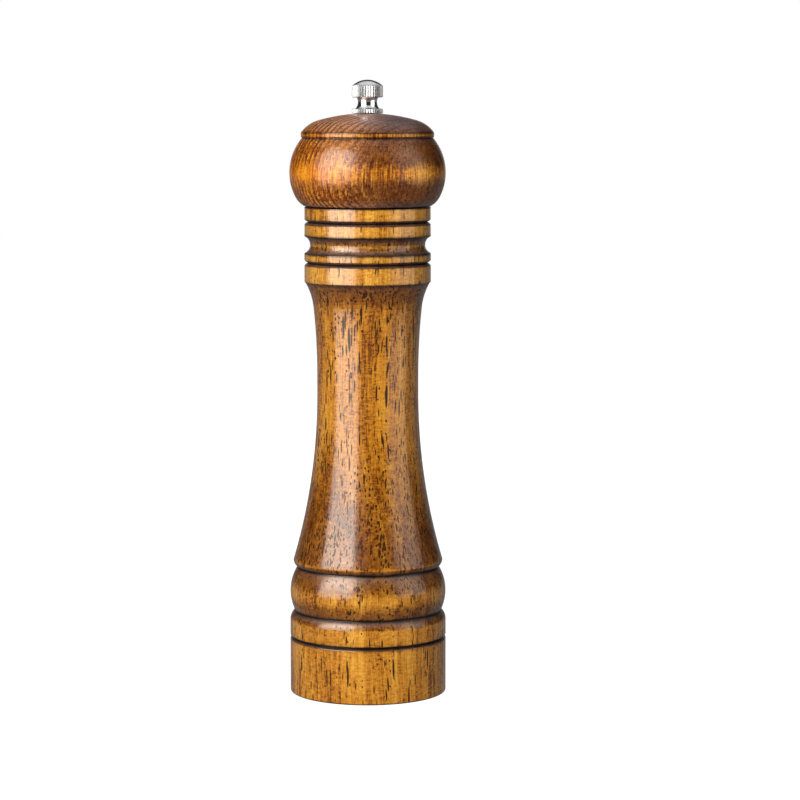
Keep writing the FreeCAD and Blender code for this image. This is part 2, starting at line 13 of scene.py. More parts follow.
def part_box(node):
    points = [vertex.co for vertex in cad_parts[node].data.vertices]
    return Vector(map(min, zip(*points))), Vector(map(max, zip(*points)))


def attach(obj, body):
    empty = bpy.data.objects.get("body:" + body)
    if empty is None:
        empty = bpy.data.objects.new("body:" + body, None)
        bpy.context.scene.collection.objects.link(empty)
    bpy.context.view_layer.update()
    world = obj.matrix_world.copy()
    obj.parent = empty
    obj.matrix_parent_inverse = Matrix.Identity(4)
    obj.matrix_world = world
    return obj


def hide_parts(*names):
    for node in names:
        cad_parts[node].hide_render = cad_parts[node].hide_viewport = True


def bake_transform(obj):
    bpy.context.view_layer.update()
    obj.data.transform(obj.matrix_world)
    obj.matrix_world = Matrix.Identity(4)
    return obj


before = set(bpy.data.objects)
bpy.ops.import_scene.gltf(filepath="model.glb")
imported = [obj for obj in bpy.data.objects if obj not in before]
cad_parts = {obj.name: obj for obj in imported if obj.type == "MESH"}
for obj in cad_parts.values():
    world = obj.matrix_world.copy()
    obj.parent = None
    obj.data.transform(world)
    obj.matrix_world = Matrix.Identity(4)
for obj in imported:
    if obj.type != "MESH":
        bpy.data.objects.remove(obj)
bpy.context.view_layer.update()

MM = 0.001
JOIN_DISTANCE = 1e-6

# Turned body
BASE_R = 26.5
BEAD_R = 26.4
RIM_R = 25.35
WAIST_R = 17.15
NECK_R = 18.3
COLLAR_R = 21.3
COVE_R = 19.4
Z_SCRIBE = 19.0
Z_BEAD_LOW = 28.0
Z_BEAD_HIGH = 43.1
Z_RIM = 45.3
Z_WAIST = 102.0
Z_WAIST_TOP = 110.0
Z_NECK = 131.3
Z_COLLAR = 139.4
Z_LOW_GROOVE = 146.3
Z_COVE = 149.5
Z_COVE_TOP = 155.2
Z_HIGH_GROOVE = 160.05
Z_TOP = 165.0
CHAMBER_R = 12.5
BARREL_R = 16.2
RECESS_R = 21.7
Z_FLANGE_SEAT = 11.5
Z_BARREL_TOP = 36.2
GROOVE_W = 1.8
GROOVE_DEPTH = 1.5
GROOVE_MARGIN = 0.3
SCRIBE_W = 1.3
SCRIBE_DEPTH = 0.9
FOOT_EASE = 0.6
DRUM_ROUND = 3.0
BEAD_TUCK_LOW = 1.5
BEAD_TUCK_HIGH = 2.5
BEAD_BULGE = 2.0
COLLAR_EASE = 0.45
TOP_TAN = 0.6
MOUTH_EASE = 0.8
STAIN_EDGE = 1.0
BODY_CLOSING = 1.0

# Turned head
Z_HEAD = 165.3
Z_HEAD_KNEE = 168.3
Z_HEAD_CREST = 176.6
Z_LIP = 188.2
Z_DOME = 189.9
Z_SHOULDER = 194.05
HEAD_FOOT_R = 21.2
HEAD_KNEE_R = 24.25
HEAD_R = 26.3
LIP_R = 22.4
LIP_DEPTH = 0.4
LIP_RISE = 0.35
SHOULDER_R = 16.5
CROWN_R = 60.0
SEAT_R = 5.5
TENON_R = 12.2
TENON_L = 10.0
TENON_EASE = 0.8
SHAFT_BORE_R = 3.69
HEAD_FOOT_TAN = 1.0
HEAD_CLOSING = 0.3

# Finial nut
FINIAL_R = 5.2
FINIAL_NECK_R = 3.22
FINIAL_FOOT_R = 4.05
FLANGE_H = 1.7
NECK_H = 3.7
CAP_H = 4.45
CAP_CHAMFER = 0.65
CAP_EDGE = 0.25
FLANGE_CHAMFER = 0.3
FLANGE_EDGE = 0.2
RIM_CUT = 0.5
FINIAL_DOME_H = 1.5
FINIAL_BORE_R = 2.05
FINIAL_BORE_TOP = 2.6
KNURLS = 36
KNURL_DEPTH = 0.28
STEPS_A_KNURL = 8

# Rod
ROD_EASE = 0.3
STUD_R = 2.0
STUD_ROOT_R = 1.72
STUD_L = 17.0
STUD_POINT = 0.35
STUD_SIDES = 40
THREAD_PITCH = 0.7
THREAD_RIDGE = 0.29
THREAD_FROM_FOOT = 1.2
THREAD_FROM_TOP = 1.4

UP = Vector((0, 1))
INWARD = Vector((-1, 0))


def turned_by(vector, angle):
    """A flat vector, turned to the left."""
    return Vector((vector.x * math.cos(angle) - vector.y * math.sin(angle),
                   vector.x * math.sin(angle) + vector.y * math.cos(angle)))


def angle_to(a, b):
    """Angle to the left from a to b."""
    return math.atan2(a.x * b.y - a.y * b.x, a.dot(b))


class Section:
    """Half of a turned section: points (radius, height), each with how burnt or shaded, bare and knurled it
    is.

    A burnt or shaded point darkens its surroundings, and that fades out within a set distance. Burnt points
    are scribe and groove lines; shaded ones are painted shade in the cove and painted shadow at the seam
    between body and head.
    """

    STEP = math.radians(5)
    LONGEST = 1.6
    BURN_AND_SHADE_FADE = 1.1
    TINY = 1e-6
    MOST_EASED = 0.45

    def __init__(self, radius, z):
        self.bare = 0.0
        self.knurl = 0.0
        self.heading = UP
        self.points = []
        self._put(Vector((radius, z)), 0.0)

    def _put(self, place, burn):
        self.points.append((place, burn, self.bare, self.knurl))

    def line(self, radius, z, burn=0.0):
        """Straight to a point."""
        return self._arc(Vector((radius, z)), 0.0, burn)

    def bulge(self, radius, z, height, burn=0.0):
        """Arc that stands out from its chord by height, to the right of the way that it goes."""
        there = Vector((radius, z))
        chord = (there - self.points[-1][0]).length
        return self._arc(there, -2 * math.atan(2 * height / chord), burn)

    def flow(self, radius, z, burn=0.0):
        """Arc that carries on from the last stretch without a corner."""
        there = Vector((radius, z))
        return self._arc(there, angle_to(there - self.points[-1][0], self.heading), burn)

    def arrive(self, radius, z, direction, burn=0.0):
        """Arc that reaches its end in the given direction."""
        there = Vector((radius, z))
        return self._arc(there, -angle_to(there - self.points[-1][0], direction), burn)

    def _arc(self, there, lean, burn):
        """Arc whose start leans to the left of its chord by an angle, or straight line at 0."""
        here, old_burn_and_shade = self.points[-1][:2]
        chord = there - here
        span = chord.length
        longest = self.BURN_AND_SHADE_FADE / 2 if max(burn, old_burn_and_shade) > 0 else self.LONGEST
        count = max(1, math.ceil(abs(2 * lean) / self.STEP), math.ceil(span / longest))
        for i in range(1, count + 1):
            share = i / count
            along = share if abs(lean) < self.TINY else math.sin(lean * share) / math.sin(lean)
            place = here + turned_by(chord, lean * (1 - share)) * along
            left_over = old_burn_and_shade * max(0.0, 1 - span * share / self.BURN_AND_SHADE_FADE)
            coming = burn * max(0.0, 1 - span * (1 - share) / self.BURN_AND_SHADE_FADE)
            self._put(place, max(left_over, coming))
        self.heading = turned_by(chord, -lean).normalized()
        return self

    def softened(self, radius, least_turn=math.radians(24), cuts=3):
        """The points, with each corner off the axis eased into a small curve."""
        if radius <= 0:
            return self.points
        eased = []
        count = len(self.points)
        for i, (place, burn, bare, knurl) in enumerate(self.points):
            before = self.points[i - 1][0] - place
            after = self.points[(i + 1) % count][0] - place
            shortest = min(place.x, before.length, after.length)
            if shortest < self.TINY or abs(angle_to(-before, after)) < least_turn:
                eased.append((place, burn, bare, knurl))
                continue
            start = before.normalized() * min(radius, self.MOST_EASED * before.length)
            end = after.normalized() * min(radius, self.MOST_EASED * after.length)
            for k in range(cuts + 1):
                t = k / cuts
                eased.append((place + start * (1 - t) ** 2 + end * t ** 2, burn, bare, knurl))
        return eased


def body_section():
    """Body: outside from the foot up, then down through the mouth, the chamber and the grinder's bore."""
    into_bead = Vector((-1, 0.8)).normalized()
    s = Section(RECESS_R, 0.0)
    s.line(BASE_R - FOOT_EASE, 0)
    s.arrive(BASE_R, FOOT_EASE, UP)
    s.line(BASE_R, Z_SCRIBE - SCRIBE_W / 2, burn=0.25)
    s.line(BASE_R - SCRIBE_DEPTH, Z_SCRIBE, burn=1.0)
    s.line(BASE_R, Z_SCRIBE + SCRIBE_W / 2, burn=0.3)
    s.line(BASE_R, Z_SCRIBE + SCRIBE_W)
    s.line(BASE_R, Z_BEAD_LOW - DRUM_ROUND)
    s.arrive(BEAD_R - BEAD_TUCK_LOW, Z_BEAD_LOW, into_bead, burn=1.0)
    s.bulge(BEAD_R - BEAD_TUCK_HIGH, Z_BEAD_HIGH, BEAD_BULGE, burn=0.9)
    s.arrive(RIM_R, Z_RIM, UP)
    s.arrive(WAIST_R, Z_WAIST, UP)
    s.line(WAIST_R, Z_WAIST_TOP)
    s.flow(NECK_R, Z_NECK)
    s.flow(COLLAR_R - COLLAR_EASE, Z_COLLAR, burn=0.3)
    s.line(COLLAR_R, Z_COLLAR + COLLAR_EASE)
    collar_groove(s, Z_LOW_GROOVE)
    # The cove is darkened, most at its top and bottom edges: painted shade
    s.line(COLLAR_R, Z_COVE, burn=0.7)
    s.arrive(COVE_R, (Z_COVE + Z_COVE_TOP) / 2, UP, burn=0.35)
    s.flow(COLLAR_R, Z_COVE_TOP, burn=0.75)
    collar_groove(s, Z_HIGH_GROOVE)
    s.line(COLLAR_R, Z_TOP - TOP_TAN)
    # The top edge and top face are darkened: painted shadow in the seam under the head
    s.line(COLLAR_R, Z_TOP, burn=0.6)
    s.line(CHAMBER_R + MOUTH_EASE + STAIN_EDGE, Z_TOP, burn=0.1)
    s.bare = 1.0
    s.line(CHAMBER_R + MOUTH_EASE, Z_TOP)
    s.line(CHAMBER_R, Z_TOP - MOUTH_EASE)
    s.line(CHAMBER_R, Z_BARREL_TOP)
    s.line(BARREL_R, Z_BARREL_TOP)
    s.line(BARREL_R, Z_FLANGE_SEAT)
    s.line(RECESS_R, Z_FLANGE_SEAT)
    s.line(RECESS_R, BODY_CLOSING)
    return s


def collar_groove(section, z):
    """Dark groove with soft shoulders in the collar."""
    half = GROOVE_W / 2
    swell = GROOVE_W / 10
    section.line(COLLAR_R, z - half - GROOVE_MARGIN)
    section.line(COLLAR_R, z - half, burn=0.2)
    section.bulge(COLLAR_R - GROOVE_DEPTH, z, swell, burn=1.0)
    section.bulge(COLLAR_R, z + half, swell, burn=0.2)
    section.line(COLLAR_R, z + half + GROOVE_MARGIN)


def crown_height(radius):
    """How far the crown of the dome lies below its top, at a radius."""
    return CROWN_R - math.sqrt(CROWN_R ** 2 - radius ** 2)


Z_SEAT = Z_SHOULDER + crown_height(SHOULDER_R) - crown_height(SEAT_R)


def head_section():
    """Head: bulb, lip and dome, then the hole for the rod and the spigot."""
    dip = math.asin(SHOULDER_R / CROWN_R)
    lower = 2 * math.atan2(HEAD_R - HEAD_KNEE_R, Z_HEAD_CREST - Z_HEAD_KNEE)
    z_tenon = Z_HEAD - TENON_L
    s = Section(TENON_R, Z_HEAD)
    # The foot of the head is darkened: painted shadow in the seam over the body
    s.line(HEAD_FOOT_R - HEAD_FOOT_TAN, Z_HEAD, burn=0.3)
    s.line(HEAD_FOOT_R, Z_HEAD, burn=0.7)
    s.arrive(HEAD_KNEE_R, Z_HEAD_KNEE, Vector((math.sin(lower), math.cos(lower))))
    s.arrive(HEAD_R, Z_HEAD_CREST, UP)
    s.flow(LIP_R - LIP_DEPTH, Z_LIP, burn=0.7)
    s.line(LIP_R, Z_LIP + LIP_RISE, burn=0.35)
    s.line(LIP_R, Z_DOME, burn=0.5)
    s.arrive(SHOULDER_R, Z_SHOULDER, Vector((-math.cos(dip), math.sin(dip))))
    s.flow(SEAT_R, Z_SEAT)
    s.bare = 1.0
    s.line(SHAFT_BORE_R, Z_SEAT)
    s.line(SHAFT_BORE_R, z_tenon)
    s.line(TENON_R - TENON_EASE, z_tenon)
    s.line(TENON_R, z_tenon + TENON_EASE)
    s.line(TENON_R, Z_HEAD - HEAD_CLOSING)
    return s


def finial_section():
    """Finial nut: knurled flange, hollow neck, knurled cap and its dome, then the threaded hole."""
    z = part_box("finial_nut")[0].z / MM
    z_neck = z + FLANGE_H
    z_cap = z_neck + NECK_H
    z_dome = z_cap + CAP_H
    z_top = z_dome + FINIAL_DOME_H
    neck_top = (FINIAL_NECK_R + FINIAL_FOOT_R) / 2
    waist = (FINIAL_FOOT_R + neck_top) / 2 - FINIAL_NECK_R
    s = Section(FINIAL_BORE_R, z)
    s.line(FINIAL_R - RIM_CUT, z)
    s.knurl = 1.0
    s.line(FINIAL_R, z + FLANGE_EDGE)
    s.line(FINIAL_R, z_neck - FLANGE_CHAMFER)
    s.line(FINIAL_R - FLANGE_CHAMFER, z_neck)
    s.knurl = 0.0
    s.line(FINIAL_FOOT_R, z_neck)
    s.bulge(neck_top, z_cap, -waist)
    s.line(FINIAL_R - RIM_CUT, z_cap)
    s.knurl = 1.0
    s.line(FINIAL_R, z_cap + CAP_EDGE)
    s.line(FINIAL_R, z_dome - CAP_CHAMFER)
    s.knurl = 0.0
    s.line(FINIAL_R - CAP_CHAMFER, z_dome)
    s.arrive(0, z_top, INWARD)
    s.line(0, z_top - FINIAL_BORE_TOP)
    s.line(FINIAL_BORE_R, z_top - FINIAL_BORE_TOP)
    return s


def screw_section(length, shank_r, head_r, head_h):
    """Pan-head screw that points up, with the underside of its head at height 0."""
    head_edge = 0.1
    s = Section(0.0, -head_h)
    s.line(head_r - head_h / 2, -head_h)
    s.arrive(head_r, -head_edge, UP)
    s.line(head_r, 0)
    s.line(shank_r, 0)
    s.line(shank_r, length - shank_r)
    s.line(0, length)
    return s


# Node trees, and the pieces that grow from them

class Graph:
    """Short way to add and link nodes in a tree."""

    def __init__(self, tree):
        self.tree = tree

    def add(self, kind, inputs=None, **settings):
        """A node with its settings, and its inputs set to a value or linked to a socket."""
        node = self.tree.nodes.new(kind)
        for name, value in settings.items():
            setattr(node, name, value)
        for key, value in (inputs or {}).items():
            self.feed(node.inputs[key], value)
        return node

    def feed(self, socket, value):
        """Sets a socket to a value, or links it to another socket."""
        if isinstance(value, bpy.types.NodeSocket):
            self.tree.links.new(value, socket)
        else:
            socket.default_value = value

    def math(self, operation, *values, clamp=False):
        """Math on sockets or numbers."""
        kind = "ShaderNodeMath"
        return self.add(kind, dict(enumerate(values)), operation=operation, use_clamp=clamp).outputs[0]

    def vector(self, operation, *values):
        """Vector math on sockets or vectors."""
        return self.add("ShaderNodeVectorMath", dict(enumerate(values)), operation=operation).outputs[0]


def new_tree(kind, name, sockets_in, sockets_out):
    """A node group with named inputs and outputs, and its input and output nodes."""
    tree = bpy.data.node_groups.new(name, kind)
    for label, socket in sockets_in:
        tree.interface.new_socket(label, in_out="INPUT", socket_type="NodeSocket" + socket)
    for label, socket in sockets_out:
        tree.interface.new_socket(label, in_out="OUTPUT", socket_type="NodeSocket" + socket)
    graph = Graph(tree)
    return graph, graph.add("NodeGroupInput").outputs, graph.add("NodeGroupOutput").inputs


def hand_over(g, geometry, finish, result):
    """The real mesh with its material, as the result of a tree."""
    real = g.add("GeometryNodeRealizeInstances", {"Geometry": geometry})
    done = g.add("GeometryNodeSetMaterial", {"Geometry": real.outputs["Geometry"], "Material": finish})
    g.feed(result, done.outputs["Geometry"])


def around_axis(g, radius, angle, height):
    """Place at a radius and an angle round the axis, and at a height."""
    node = g.add("ShaderNodeCombineXYZ", {
        "X": g.math("MULTIPLY", radius, g.math("COSINE", angle)),
        "Y": g.math("MULTIPLY", radius, g.math("SINE", angle)),
        "Z": height})
    return node.outputs["Vector"]


def up_by(g, height):
    """Vector along the axis."""
    return g.add("ShaderNodeCombineXYZ", {"Z": height}).outputs["Vector"]


def turning_tree():
    """Spins a section round the axis, with flutes where the section is knurled."""
    g, inp, out = new_tree("GeometryNodeTree", "Turned piece", [
        ("Section", "Geometry"), ("Segments", "Int"), ("Knurls", "Float"), ("Knurl Depth", "Float"),
        ("Finish", "Material")], [("Piece", "Geometry")])
    outline = g.add("GeometryNodeMeshToCurve", {"Mesh": inp["Section"]})
    round_way = g.add("GeometryNodeCurvePrimitiveCircle", {"Resolution": inp["Segments"]})
    capture = g.add("GeometryNodeCaptureAttribute", {"Geometry": round_way.outputs["Curve"]})
    capture.capture_items.new("FLOAT", "Turn")
    g.feed(capture.inputs["Turn"], g.add("GeometryNodeSplineParameter").outputs["Factor"])
    swept = g.add("GeometryNodeCurveToMesh", {
        "Curve": capture.outputs["Geometry"], "Profile Curve": outline.outputs["Curve"]})

    def mark(name):
        """A mark that the section carries."""
        node = g.add("GeometryNodeInputNamedAttribute", {"Name": name}, data_type="FLOAT")
        return node.outputs["Attribute"]

    turn = capture.outputs["Turn"]
    angle = g.math("MULTIPLY", turn, 2 * math.pi)
    flute = g.math("PINGPONG", g.math("MULTIPLY", turn, inp["Knurls"]), 0.5)
    flute = g.math("MULTIPLY", g.math("MULTIPLY", flute, 2.0), mark("knurl"))
    radius = g.math("SUBTRACT", mark("girth"), g.math("MULTIPLY", flute, inp["Knurl Depth"]))
    placed = g.add("GeometryNodeSetPosition", {
        "Geometry": swept.outputs["Mesh"], "Position": around_axis(g, radius, angle, mark("height"))})
    marked = g.add("GeometryNodeStoreNamedAttribute", {
        "Geometry": placed.outputs["Geometry"], "Name": "flute", "Value": flute},
        data_type="FLOAT", domain="POINT")
    merged = g.add("GeometryNodeMergeByDistance", {
        "Geometry": marked.outputs["Geometry"], "Distance": JOIN_DISTANCE})
    hand_over(g, merged.outputs["Geometry"], inp["Finish"], out["Piece"])
    return g.tree


def screw_ring_tree():
    """Cuts a cross into a screw's head and sets copies of the screw round a circle, each turned on."""
    g, inp, out = new_tree("GeometryNodeTree", "Ring of screws", [
        ("Screw", "Geometry"), ("Count", "Int"), ("Circle", "Float"), ("Height", "Float"),
        ("Slot Length", "Float"), ("Slot Width", "Float"), ("Slot Depth", "Float"),
        ("Head Height", "Float"), ("Finish", "Material")], [("Screws", "Geometry")])
    first_turn = 0.5
    turn_step = 1.3
    cut = g.math("MULTIPLY", inp["Slot Depth"], 2.0)
    head = up_by(g, g.math("MULTIPLY", inp["Head Height"], -1.0))
    bars = g.add("GeometryNodeJoinGeometry")
    for length, width in (("Slot Length", "Slot Width"), ("Slot Width", "Slot Length")):
        size = g.add("ShaderNodeCombineXYZ", {"X": inp[length], "Y": inp[width], "Z": cut})
        bar = g.add("GeometryNodeMeshCube", {"Size": size.outputs["Vector"]})
        moved = g.add("GeometryNodeTransform", {"Geometry": bar.outputs["Mesh"], "Translation": head})
        g.feed(bars.inputs["Geometry"], moved.outputs["Geometry"])
    union = g.add("GeometryNodeMeshBoolean", operation="UNION")
    g.feed(union.inputs["Mesh 2"], bars.outputs["Geometry"])
    crossed = g.add("GeometryNodeMeshBoolean", {"Mesh 1": inp["Screw"]}, operation="DIFFERENCE")
    g.feed(crossed.inputs["Mesh 2"], union.outputs["Mesh"])
    index = g.add("GeometryNodeInputIndex").outputs[0]
    angle = g.math("DIVIDE", g.math("MULTIPLY", index, 2 * math.pi), inp["Count"])
    places = g.add("GeometryNodePoints", {
        "Count": inp["Count"], "Position": around_axis(g, inp["Circle"], angle, inp["Height"])})
    spin = up_by(g, g.math("ADD", g.math("MULTIPLY", index, turn_step), first_turn))
    copies = g.add("GeometryNodeInstanceOnPoints", {
        "Points": places.outputs[0], "Instance": crossed.outputs["Mesh"], "Rotation": spin})
    hand_over(g, copies.outputs["Instances"], inp["Finish"], out["Screws"])
    return g.tree


def thread_tree():
    """Winds a pointed ridge round a core, as a thread."""
    g, inp, out = new_tree("GeometryNodeTree", "Thread", [
        ("Core", "Geometry"), ("Turns", "Float"), ("Radius", "Float"), ("Length", "Float"),
        ("Start", "Float"), ("Ridge", "Float"), ("Finish", "Material")], [("Threaded", "Geometry")])
    steps_a_turn = 24
    ridge_corners = 4
    helix = g.add("GeometryNodeCurveSpiral", {
        "Resolution": steps_a_turn, "Rotations": inp["Turns"], "Start Radius": inp["Radius"],
        "End Radius": inp["Radius"], "Height": inp["Length"]})
    moved = g.add("GeometryNodeTransform", {
        "Geometry": helix.outputs["Curve"], "Translation": up_by(g, inp["Start"])})
    ridge = g.add("GeometryNodeCurvePrimitiveCircle", {"Resolution": ridge_corners, "Radius": inp["Ridge"]})
    wound = g.add("GeometryNodeCurveToMesh", {
        "Curve": moved.outputs["Geometry"], "Profile Curve": ridge.outputs["Curve"], "Fill Caps": True})
    both = g.add("GeometryNodeJoinGeometry")
    g.feed(both.inputs["Geometry"], wound.outputs["Mesh"])
    g.feed(both.inputs["Geometry"], inp["Core"])
    hand_over(g, both.outputs["Geometry"], inp["Finish"], out["Threaded"])
    return g.tree


def grown(name, mesh, tree, sharp, **values):
    """The plain mesh that a tree makes from a start mesh, as a finished object.

    Edges that turn by more than sharp degrees stay sharp.
    """
    start = bpy.data.objects.new(name, mesh)
    bpy.context.scene.collection.objects.link(start)
    modifier = start.modifiers.new("Grow", "NODES")
    modifier.node_group = tree
    for item in tree.interface.items_tree:
        label = item.name.lower().replace(" ", "_")
        if item.in_out == "INPUT" and label in values:
            modifier[item.identifier] = values[label]
    graph = bpy.context.evaluated_depsgraph_get()
    result = bpy.data.meshes.new_from_object(start.evaluated_get(graph))
    start.modifiers.remove(modifier)
    start.data = result
    result.name = name
    result.shade_smooth()
    result.set_sharp_from_angle(angle=math.radians(sharp))
    return start


def section_mesh(section, ease):
    """Closed loop of edges with the marks that the turning tree and the wood read."""
    points = section.softened(ease)
    count = len(points)
    mesh = bpy.data.meshes.new("section")
    edges = [(i, (i + 1) % count) for i in range(count)]
    mesh.from_pydata([(p.x * MM, 0, p.y * MM) for p, *_ in points], edges, [])
    columns = {"girth": [p.x * MM for p, *_ in points], "height": [p.y * MM for p, *_ in points]}
    for k, name in enumerate(("burn", "bare", "knurl"), 1):
        columns[name] = [point[k] for point in points]
    for name, values in columns.items():
        mesh.attributes.new(name, "FLOAT", "POINT").data.foreach_set("value", values)
    return mesh


def outward(piece):
    """Turns the faces of a closed piece outwards if they point in."""
    mesh = bmesh.new()
    mesh.from_mesh(piece.data)
    if mesh.calc_volume(signed=True) < 0:
        bmesh.ops.reverse_faces(mesh, faces=mesh.faces)
        mesh.to_mesh(piece.data)
    mesh.free()
    return piece


def turned_piece(name, section, finish, segments=192, ease=0.3, sharp=45, knurls=0, knurl_depth=0.0):
    """A section, spun into a piece."""
    piece = grown(name, section_mesh(section, ease), TURNING, sharp, segments=segments,
                  knurls=float(knurls), knurl_depth=knurl_depth * MM, finish=finish)
    return outward(piece)


# Finishes

def tint(red, green, blue):
    """Linear colour from screen values of 0 to 255."""
    def line(value):
        share = value / 255
        return share / 12.92 if share <= 0.04045 else ((share + 0.055) / 1.055) ** 2.4
    return (line(red), line(green), line(blue), 1.0)


def mixed(g, share, a, b, blend="MIX"):
    """Colour mix."""
    node = g.add("ShaderNodeMix", data_type="RGBA", blend_type=blend)
    for key, value in ((0, share), (6, a), (7, b)):
        g.feed(node.inputs[key], value)
    return node.outputs[2]


def tinted(g, share, color, factor):
    """A colour that is multiplied by a factor, as far as the share says."""
    return mixed(g, share, color, mixed(g, 1.0, color, factor, "MULTIPLY"))


def shaded(color, share):
    """A darker colour."""
    return tuple(part * share for part in color[:3]) + (1.0,)


def mesh_mark(g, name):
    """A mark that the mesh carries."""
    return g.add("ShaderNodeAttribute", attribute_name=name).outputs["Fac"]


def ramped(g, value, low, high):
    """Smooth step from 0 at low to 1 at high."""
    node = g.add("ShaderNodeMapRange", {"Value": value, "From Min": low, "From Max": high},
                 interpolation_type="SMOOTHSTEP")
    return node.outputs["Result"]


def noise(g, place, detail=2.0, roughness=0.5):
    """Noise value at a place that is already scaled."""
    node = g.add("ShaderNodeTexNoise", {
        "Vector": place, "Scale": 1.0, "Detail": detail, "Roughness": roughness})
    return node.outputs[0]


def millimetres(g):
    """Object coordinates in millimetres."""
    return g.vector("MULTIPLY", g.add("ShaderNodeTexCoord").outputs["Object"], (1000, 1000, 1000))


def grain_noise(g, place, across, along, detail, roughness=0.5):
    """Noise with so many waves in a millimetre across and along the grain."""
    return noise(g, g.vector("MULTIPLY", place, (across, across, along)), detail, roughness)


def growth_rings(g, place, pith, width):
    """How late in its year the wood grew, from 0 to 1, in rings round the pith."""
    flat = g.vector("MULTIPLY", g.vector("SUBTRACT", place, pith), (1, 1, 0.02))
    reach = g.add("ShaderNodeVectorMath", {0: flat}, operation="LENGTH").outputs["Value"]
    ring = g.math("FRACT", g.math("DIVIDE", reach, width))
    return g.math("MULTIPLY", ramped(g, ring, 0.25, 0.9), ramped(g, ring, 1.0, 0.93))


def wood_tone(g, place, late, ring_depth, streak):
    """How light the wood is, mostly from 0 to 1: layers of figure, darker in late wood."""
    fibre = grain_noise(g, place, 0.7, 0.015, 3.0, 0.55)
    strand = grain_noise(g, place, 1.9, 0.1, 2.0, 0.6)
    silk = grain_noise(g, place, 0.5, 1.5, 4.0, 0.68)
    grit = grain_noise(g, place, 2.4, 1.0, 2.0)
    blotch = grain_noise(g, place, 0.09, 0.035, 2.0)
    tone = g.math("MULTIPLY", late, g.math("MULTIPLY", ring_depth, -1.0))
    for layer, weight in ((fibre, 0.55), (strand, streak), (silk, 0.95), (grit, 0.5), (blotch, 0.6)):
        tone = g.math("ADD", tone, g.math("MULTIPLY", g.math("SUBTRACT", layer, 0.5), weight))
    spread = g.add("ShaderNodeMapRange", {"Value": tone, "From Min": -0.36, "From Max": 0.3})
    return spread.outputs["Result"]


# Kinds of pore: width and length of their cells in millimetres, how rare they are, how much more common
# on torn slopes, and a shift that keeps the kinds apart
LONG_PORES = (1.3, 16.0, 0.38, 0.15, 0.0)
SHORT_PORES = (0.9, 7.0, 0.27, 0.3, 37.0)
TEAR_OUTS = (1.15, 1.9, 0.6, 1.05, 71.0)
PORE_EDGE = 0.06


def pores(g, place, late, crowd, inp, kind):
    """Holes of one kind of pore, smaller in late wood."""
    across, along, rarity, tearing, shift = kind
    scaled = g.vector("MULTIPLY", place, (1 / across, 1 / across, 1 / along))
    shifted = g.vector("ADD", scaled, (shift, shift, shift))
    cells = g.add("ShaderNodeTexVoronoi", {"Vector": shifted, "Scale": 1.0}).outputs
    chance = g.add("ShaderNodeSeparateColor", {"Color": cells["Color"]}).outputs[0]
    chance = g.math("ADD", g.math("ADD", chance, crowd), g.math("MULTIPLY", inp["Torn"], tearing))
    size = ramped(g, g.math("ADD", chance, inp["Pore Share"]), 0.1 + rarity, 1.0 + rarity)
    size = g.math("MULTIPLY", size, inp["Pore Size"])
    size = g.math("MULTIPLY", size, g.math("SUBTRACT", 1.1, g.math("MULTIPLY", late, 0.45)))
    return g.math("DIVIDE", g.math("SUBTRACT", size, cells["Distance"]), PORE_EDGE, clamp=True)


def wood_figure_group():
    """Solid wood: fibres, growth rings, silky figure and open pores, all running along the mill."""
    g, inp, out = new_tree("ShaderNodeTree", "Wood figure", [
        ("Offset", "Vector"), ("Pith", "Vector"), ("Ring Width", "Float"), ("Ring Depth", "Float"),
        ("Streak", "Float"), ("Pore Size", "Float"), ("Pore Share", "Float"), ("Torn", "Float"),
        ("Light", "Color"), ("Middle", "Color"), ("Dark", "Color")], [
        ("Color", "Color"), ("Pore", "Float"), ("Tone", "Float"), ("Ring", "Float")])
    place = g.vector("ADD", millimetres(g), inp["Offset"])
    slow = g.vector("MULTIPLY", place, (0.03, 0.03, 0.012))
    sway = g.add("ShaderNodeTexNoise", {"Vector": slow, "Scale": 1.0, "Detail": 2.0}).outputs["Color"]
    bend = g.vector("MULTIPLY", g.vector("SUBTRACT", sway, (0.5, 0.5, 0.5)), (9.0, 9.0, 0.0))
    place = g.vector("ADD", place, bend)
    late = growth_rings(g, place, inp["Pith"], inp["Ring Width"])
    tone = wood_tone(g, place, late, inp["Ring Depth"], inp["Streak"])
    color = mixed(g, ramped(g, tone, 0.0, 0.4), inp["Dark"], inp["Middle"])
    color = mixed(g, ramped(g, tone, 0.33, 1.0), color, inp["Light"])
    crowd = grain_noise(g, place, 0.16, 0.06, 1.0)
    pore = pores(g, place, late, crowd, inp, LONG_PORES)
    for kind in (SHORT_PORES, TEAR_OUTS):
        pore = g.math("MAXIMUM", pore, pores(g, place, late, crowd, inp, kind))
    g.feed(out["Color"], color)
    g.feed(out["Pore"], pore)
    g.feed(out["Tone"], tone)
    g.feed(out["Ring"], late)
    return g.tree


def worked_metal_group():
    """Fine tool marks of worked metal, drawn out along one direction, with a little dulling."""
    g, inp, out = new_tree("ShaderNodeTree", "Worked metal", [
        ("Grain", "Vector"), ("Roughness", "Float"), ("Spread", "Float")], [
        ("Roughness", "Float"), ("Mark", "Float"), ("Dulling", "Float")])
    place = millimetres(g)
    mark = noise(g, g.vector("MULTIPLY", place, inp["Grain"]), 3.0, 0.65)
    dull = noise(g, g.vector("MULTIPLY", place, (0.25, 0.25, 0.25)), 3.0)
    both = g.math("ADD", g.math("MULTIPLY", mark, 0.6), g.math("MULTIPLY", dull, 0.4))
    swing = g.math("MULTIPLY", g.math("SUBTRACT", both, 0.5), inp["Spread"])
    g.feed(out["Roughness"], g.math("ADD", inp["Roughness"], swing))
    g.feed(out["Mark"], mark)
    g.feed(out["Dulling"], dull)
    return g.tree


